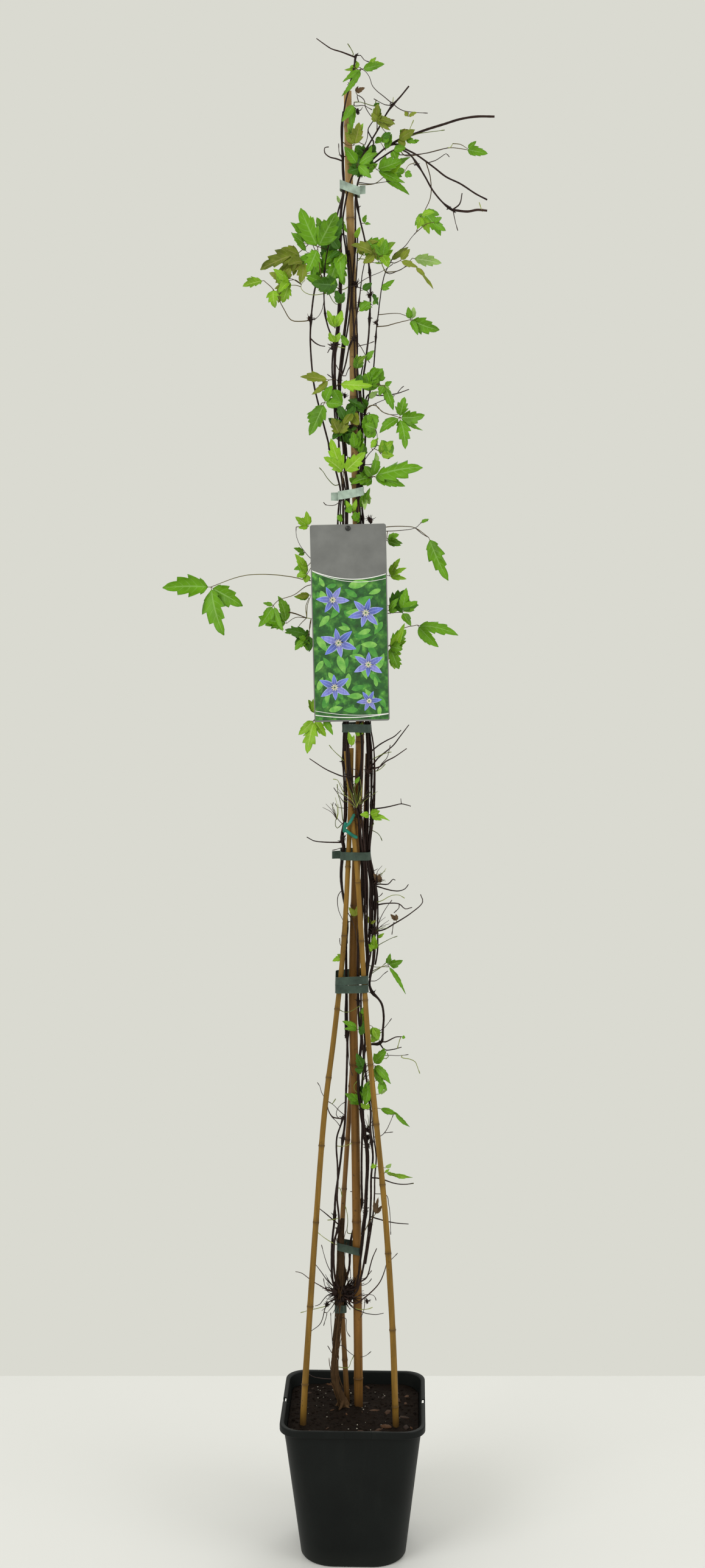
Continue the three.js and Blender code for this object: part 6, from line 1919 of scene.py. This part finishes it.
class BuildPot(bpy.types.Operator):
    """Build the square pot with its rolled rim, notches and drain slots"""

    bl_idname = "clematis.build_pot"
    bl_label = "Pot"

    def execute(self, context):
        sizes = context.scene.clematis_pot
        bm = new_bmesh()
        build_pot(bm, sizes)
        shell = finish_piece("pot_shell", bm, [pot_finish(sizes.colour)], ["pot"])
        bm = new_bmesh()
        pot_cutters(bm, sizes)
        cutter = new_object("pot_cutter", bm)
        cut = shell.modifiers.new("cut", "BOOLEAN")
        cut.operation = "DIFFERENCE"
        cut.solver = "EXACT"
        cut.use_self = True
        cut.object = cutter
        whole = shell.evaluated_get(context.evaluated_depsgraph_get())
        mesh = bpy.data.meshes.new_from_object(whole)
        shell.modifiers.remove(cut)
        shell.data = mesh
        soften(mesh, 32)
        bpy.data.objects.remove(cutter)
        return {"FINISHED"}


class BuildSoil(bpy.types.Operator):
    """Build the soil with its crumbs, perlite grains and bark chips"""

    bl_idname = "clematis.build_soil"
    bl_label = "Soil"

    def execute(self, context):
        pot = context.scene.clematis_pot
        sizes = context.scene.clematis_soil
        body = sizes.colour
        earth = soil_finish("soil_earth", toned(body, 0.35), toned(body, 1.5), toned(body, 2.8))
        finish_piece("soil_bed", build_soil(pot), [earth], ["soil"])
        dice = random.Random(11)
        bm = new_bmesh()
        for _ in range(sizes.crumbs):
            half = dice.uniform(0.0007, 0.0024) * dice.uniform(0.7, 1.3)
            size = (half, half * dice.uniform(0.6, 1), half * dice.uniform(0.5, 0.8))
            add_lump(bm, soil_spot(dice, pot), size, dice, 1, dice.random())
        finish_piece("soil_crumbs", bm, [earth])
        bm = new_bmesh()
        for _ in range(sizes.perlite):
            half = dice.uniform(0.0005, 0.0013)
            add_lump(bm, soil_spot(dice, pot), (half, half * 0.8, half * 0.8), dice, 1, dice.random())
        finish_piece("soil_perlite", bm, [grain_finish("perlite", "5f5b50", "b3aea0", 0.8)])
        bm = new_bmesh()
        for _ in range(sizes.chips):
            long = dice.uniform(0.003, 0.008)
            size = (long, long * dice.uniform(0.3, 0.55), dice.uniform(0.0009, 0.0018))
            add_lump(bm, soil_spot(dice, pot), size, dice, 2, dice.random())
        chip = seen(43, 207, -52)
        chip.z = soil_height(chip.x, chip.y) + 0.001
        add_lump(bm, chip, (0.008, 0.0035, 0.002), dice, 2, 0.9)
        finish_piece("bark_chips", bm, [grain_finish("bark_chip", "20140d", "50341d", 0.85)])
        return {"FINISHED"}


class BuildCanes(bpy.types.Operator):
    """Build the four bamboo canes"""

    bl_idname = "clematis.build_canes"
    bl_label = "Canes"

    def execute(self, context):
        sizes = context.scene.clematis_canes
        looks = {}
        for look in ("tall", "golden", "back"):
            faded = TALL_FADED if look == "tall" else None
            looks[look] = bamboo_finish("bamboo_" + look, getattr(sizes, look), sizes.ring, faded)
        dice = random.Random(21)
        for name, spec in CANES.items():
            bm = new_bmesh()
            build_cane(bm, spec, dice)
            finish_piece(name + "_bamboo", bm, [looks[spec["look"]]], [name], 50)
        return {"FINISHED"}


class BuildCrown(bpy.types.Operator):
    """Build the woody crown with its roots, shreds of bark and tangled head"""

    bl_idname = "clematis.build_crown"
    bl_label = "Crown"

    def execute(self, context):
        sizes = context.scene.clematis_vines
        body = sizes.crown
        finish = bark_finish("crown_bark", toned(body, 0.22), body, toned(body, 1.9), 0.8)
        knot = vine_finish(sizes)
        bm = new_bmesh()
        build_crown(bm, random.Random(31))
        finish_piece("crown_wood", bm, [finish, knot], ["crown"])
        return {"FINISHED"}


class BuildVines(bpy.types.Operator):
    """Build the six vines with their branches and the dry scales at their nodes"""

    bl_idname = "clematis.build_vines"
    bl_label = "Vines"

    def execute(self, context):
        sizes = context.scene.clematis_vines
        bark = vine_finish(sizes)
        dice = random.Random(41)
        for name, spec in STEMS.items():
            bm = new_bmesh()
            radii = (sizes.foot_radius, sizes.tip_radius)
            tones = (dice.uniform(0.25, 0.5), dice.uniform(0.4, 0.75))
            vine, *branches = courses(spec["courses"])
            add_vine(bm, vine, radii, spec["nodes"], dice, tones)
            add_strands(bm, smooth_line(vine), spec["strands"], sizes.branch_radius * 1.1, dice)
            for branch in branches:
                low, high = sorted((branch[0].z / MM, branch[-1].z / MM))
                nodes = [z for z in (low + 45, low + 95) if z < high - 12]
                radii = (sizes.branch_radius, sizes.branch_radius * 0.55)
                if branch[-1].x > CUT_ARM_REACH:
                    radii = (sizes.branch_radius * 1.5, sizes.branch_radius * 1.35)
                add_vine(bm, branch, radii, nodes, dice, (dice.uniform(0.2, 0.7), dice.uniform(0.3, 0.8)))
            finish_piece(name + "_vine", bm, [bark], [name])
        bm = new_bmesh()
        for *centre, size, count in row_points(TUFTS):
            add_tuft(bm, centre, size, int(count), dice)
        finish_piece("vine_tufts", bm, [bark])
        return {"FINISHED"}


class BuildOldStalks(bpy.types.Operator):
    """Build the old leaf stalks and tendrils that stand out from the vines"""

    bl_idname = "clematis.build_old_stalks"
    bl_label = "Old stalks"

    def execute(self, context):
        sizes = context.scene.clematis_vines
        bark = bpy.data.materials.get("vine_bark") or vine_finish(sizes)
        dice = random.Random(51)
        green = bark_finish("old_stalk_green", "424a1c", "6d7b32", "a3aa58")
        for part, text in OLD_STALKS.items():
            bm = new_bmesh()
            for row in table_rows(text):
                add_old_stalk(bm, row_points(row), dice, sizes.stalk_radius)
            finish_piece("old_stalks_" + part, bm, [bark, green])
        bm = new_bmesh()
        for fan in FANS:
            add_fan(bm, fan, dice, sizes.stalk_radius * 0.8)
        finish_piece("old_stalk_fans", bm, [bark, green])
        return {"FINISHED"}


def leaf_finishes(sizes):
    """The stalk finish, then a top and an underside for each hue; and where each hue starts."""
    stalk = bark_finish("leaf_stalk", "3a2a1c", "5b4a2a", "8a8a45", 0.5)
    finishes = [stalk]
    first = {}
    for hue, (vein, edge, rough) in HUES.items():
        body = getattr(sizes, hue)
        first[hue] = len(finishes)
        finishes.append(leaf_finish("leaf_" + hue, body, vein, edge, rough))
        grey = [0.75 * c + 0.25 * sum(body) / 3 for c in body]
        finishes.append(leaf_finish("leaf_" + hue + "_under", toned(grey, 1.5), vein, edge, rough + 0.15))
    return finishes, first


class BuildLeaves(bpy.types.Operator):
    """Build the leaves that are counted one by one, and the dry leaf"""

    bl_idname = "clematis.build_leaves"
    bl_label = "Leaves"

    def execute(self, context):
        sizes = context.scene.clematis_leaves
        finishes, first = leaf_finishes(sizes)
        dice = random.Random(61)
        sheet = (sizes.thickness, sizes.fold, 1)
        radii = (sizes.stalk_radius, sizes.stalk_radius * 0.65)
        for row in table_rows(LEAVES):
            title, stalk, tips = row.split(";")
            name, hue = title.split()
            stalk = course(stalk)
            blades = []
            for x, z, width, depth, *root in row_points(tips):
                blades.append((seen(x, z, depth), width, seen(*root) if root else stalk[-1]))
            bm = new_bmesh()
            add_leaf(bm, stalk, blades, dice, sheet, radii)
            own = [finishes[0], *finishes[first[hue] : first[hue] + 2]]
            finish_piece(name + "_blades", bm, own, [name])
        return {"FINISHED"}


class BuildSmallLeaves(bpy.types.Operator):
    """Build the many small leaves between the larger ones"""

    bl_idname = "clematis.build_small_leaves"
    bl_label = "Small leaves"

    def execute(self, context):
        sizes = context.scene.clematis_leaves
        finishes, first = leaf_finishes(sizes)
        dice = random.Random(71)
        radius = sizes.stalk_radius * 0.8
        for part, text in SMALL_LEAVES.items():
            bm = new_bmesh()
            for row in table_rows(text):
                hue, leaves = row.split(":")
                for leaf in leaves.split(";"):
                    hub, *tips = row_points(leaf)
                    sheet = (sizes.thickness, sizes.fold, first[hue])
                    add_small_leaf(bm, hub, tips, dice, sheet, (radius, radius * 0.6))
            finish_piece("small_leaves_" + part, bm, finishes)
        return {"FINISHED"}


class BuildTapes(bpy.types.Operator):
    """Build the tapes that tie the vines to the canes"""

    bl_idname = "clematis.build_tapes"
    bl_label = "Tapes"

    def execute(self, context):
        sizes = context.scene.clematis_tapes
        looks = {}
        for look in ("pale", "green"):
            body = getattr(sizes, look)
            looks[look] = tape_finish("tape_" + look, toned(body, 0.6), toned(body, 1.35))
        dice = random.Random(81)
        for name, (look, bands, ends) in TAPES.items():
            bm = new_bmesh()
            for band in bands:
                add_band(bm, band, sizes, dice)
            for end in ends:
                add_tape_end(bm, end, sizes, dice)
            finish_piece(name + "_tape", bm, [looks[look]], [name], 60)
        return {"FINISHED"}


class BuildLabel(bpy.types.Operator):
    """Build the hanging picture label"""

    bl_idname = "clematis.build_label"
    bl_label = "Label"

    def execute(self, context):
        sizes = context.scene.clematis_label
        band = sizes.band
        finishes = [
            smooth_finish("label_card", toned(band, 0.85), toned(band, 1.12), 0.35, 0.5, 40),
            foliage_finish(),
            smooth_finish("print_leaf_dark", "143a1a", "2c6a2a", 0.35),
            smooth_finish("print_leaf_mid", "2f7a2c", "58a03c", 0.35),
            smooth_finish("print_leaf_light", "4f9a38", "8cc25c", 0.35),
            petal_finish(sizes.petal),
            smooth_finish("print_centre", "cfc98a", "eeeac2", 0.35),
            smooth_finish("print_rule", "dcdcd8", "f0f0ee", 0.35),
        ]
        bm = new_bmesh()
        build_card(bm, sizes)
        build_picture(bm, random.Random(91))
        finish_piece("label_card", bm, finishes, ["label"], 40)
        return {"FINISHED"}


class BuildPeg(bpy.types.Operator):
    """Build the peg that holds the label, with its collar round the tall cane"""

    bl_idname = "clematis.build_peg"
    bl_label = "Label peg"

    def execute(self, context):
        shade = context.scene.clematis_label.peg
        bm = new_bmesh()
        build_peg(bm)
        finish = smooth_finish("peg_black", toned(shade, 0.7), toned(shade, 2.0), 0.4)
        finish_piece("label_peg_black", bm, [finish], ["label_peg"], 40)
        return {"FINISHED"}


class BuildPlantTie(bpy.types.Operator):
    """Build the soft plant tie below the label"""

    bl_idname = "clematis.build_plant_tie"
    bl_label = "Plant tie"

    def execute(self, context):
        shade = context.scene.clematis_tapes.cord
        bm = new_bmesh()
        for text, radius in PLANT_TIE:
            line = smooth_line(course(text), 0.0012)
            size = [radius * MM] * len(line)
            size[0] = size[-1] = radius * 0.6 * MM
            add_tube(bm, line, size, 14, 0, 0.5, 0.85)
        finish = tape_finish("plant_tie_teal", toned(shade, 0.6), toned(shade, 1.5))
        finish_piece("plant_tie_cord", bm, [finish], ["plant_tie"])
        return {"FINISHED"}


class BuildStage(bpy.types.Operator):
    """Build the floor, the background, the soft lights and the camera"""

    bl_idname = "clematis.build_stage"
    bl_label = "Stage"

    def execute(self, context):
        scene = context.scene
        sizes = scene.clematis_stage
        bm = new_bmesh()
        corner = bmesh.ops.create_grid(bm, x_segments=1, y_segments=1, size=1)["verts"]
        bmesh.ops.scale(bm, verts=corner, vec=(FLOOR_HALF_WIDTH, (FLOOR_BACK - FLOOR_FRONT) / 2, 1))
        bmesh.ops.translate(bm, verts=corner, vec=(0, (FLOOR_BACK + FLOOR_FRONT) / 2, 0))
        floor = new_object("floor", bm)
        body = sizes.floor
        floor.data.materials.append(smooth_finish("floor_cloth", toned(body, 0.99), body, 0.9, 0.2, 2))
        world = bpy.data.worlds.new("studio")
        world.use_nodes = True
        world.node_tree.nodes["Background"].inputs[0].default_value = ready(sizes.wall)
        scene.world = world
        scene.view_settings.view_transform = "Standard"
        for name, place, size, power in LIGHTS:
            light = bpy.data.lights.new(name, "AREA")
            light.shape = "RECTANGLE"
            light.size, light.size_y = size
            light.energy = power * sizes.light
            lamp = bpy.data.objects.new(name, light)
            lamp.location = place
            aim = Vector((0, 0, 1)) - Vector(place)
            lamp.rotation_euler = aim.to_track_quat("-Z", "Y").to_euler()
            lamp.visible_camera = False
            scene.collection.objects.link(lamp)
        lens = bpy.data.cameras.new("camera")
        lens.sensor_width = SENSOR
        lens.lens = FOCAL_PIXELS / PHOTO_HEIGHT_PIXELS * SENSOR
        camera = bpy.data.objects.new("camera", lens)
        camera.location = EYE * MM
        camera.rotation_euler = (pi / 2 - EYE_PITCH, 0, 0)
        scene.collection.objects.link(camera)
        scene.camera = camera
        return {"FINISHED"}


OPERATORS = [
    BuildStage, BuildPot, BuildSoil, BuildCanes, BuildCrown, BuildVines, BuildOldStalks, BuildLeaves,
    BuildSmallLeaves, BuildTapes, BuildLabel, BuildPeg, BuildPlantTie,
]


class ClematisPanel(bpy.types.Panel):
    """Settings and build buttons of the potted clematis"""

    bl_idname = "VIEW3D_PT_clematis"
    bl_label = "Potted clematis"
    bl_space_type = "VIEW_3D"
    bl_region_type = "UI"
    bl_category = "Clematis"

    def draw(self, context):
        for name, group in SETTINGS.items():
            box = self.layout.box()
            box.label(text=group.__doc__)
            settings = getattr(context.scene, name)
            for prop in group.__annotations__:
                box.prop(settings, prop)
        for operator in OPERATORS:
            self.layout.operator(operator.bl_idname)


def register():
    for name, group in SETTINGS.items():
        bpy.utils.register_class(group)
        setattr(bpy.types.Scene, name, PointerProperty(type=group))
    for operator in OPERATORS:
        bpy.utils.register_class(operator)
    bpy.utils.register_class(ClematisPanel)


def unregister():
    bpy.utils.unregister_class(ClematisPanel)
    for operator in reversed(OPERATORS):
        bpy.utils.unregister_class(operator)
    for name, group in reversed(SETTINGS.items()):
        delattr(bpy.types.Scene, name)
        bpy.utils.unregister_class(group)


def main():
    register()
    bpy.ops.clematis.build_stage()
    bpy.ops.clematis.build_pot()
    bpy.ops.clematis.build_soil()
    bpy.ops.clematis.build_canes()
    bpy.ops.clematis.build_crown()
    bpy.ops.clematis.build_vines()
    bpy.ops.clematis.build_old_stalks()
    bpy.ops.clematis.build_leaves()
    bpy.ops.clematis.build_small_leaves()
    bpy.ops.clematis.build_tapes()
    bpy.ops.clematis.build_label()
    bpy.ops.clematis.build_peg()
    bpy.ops.clematis.build_plant_tie()


if __name__ == "__main__":
    main()
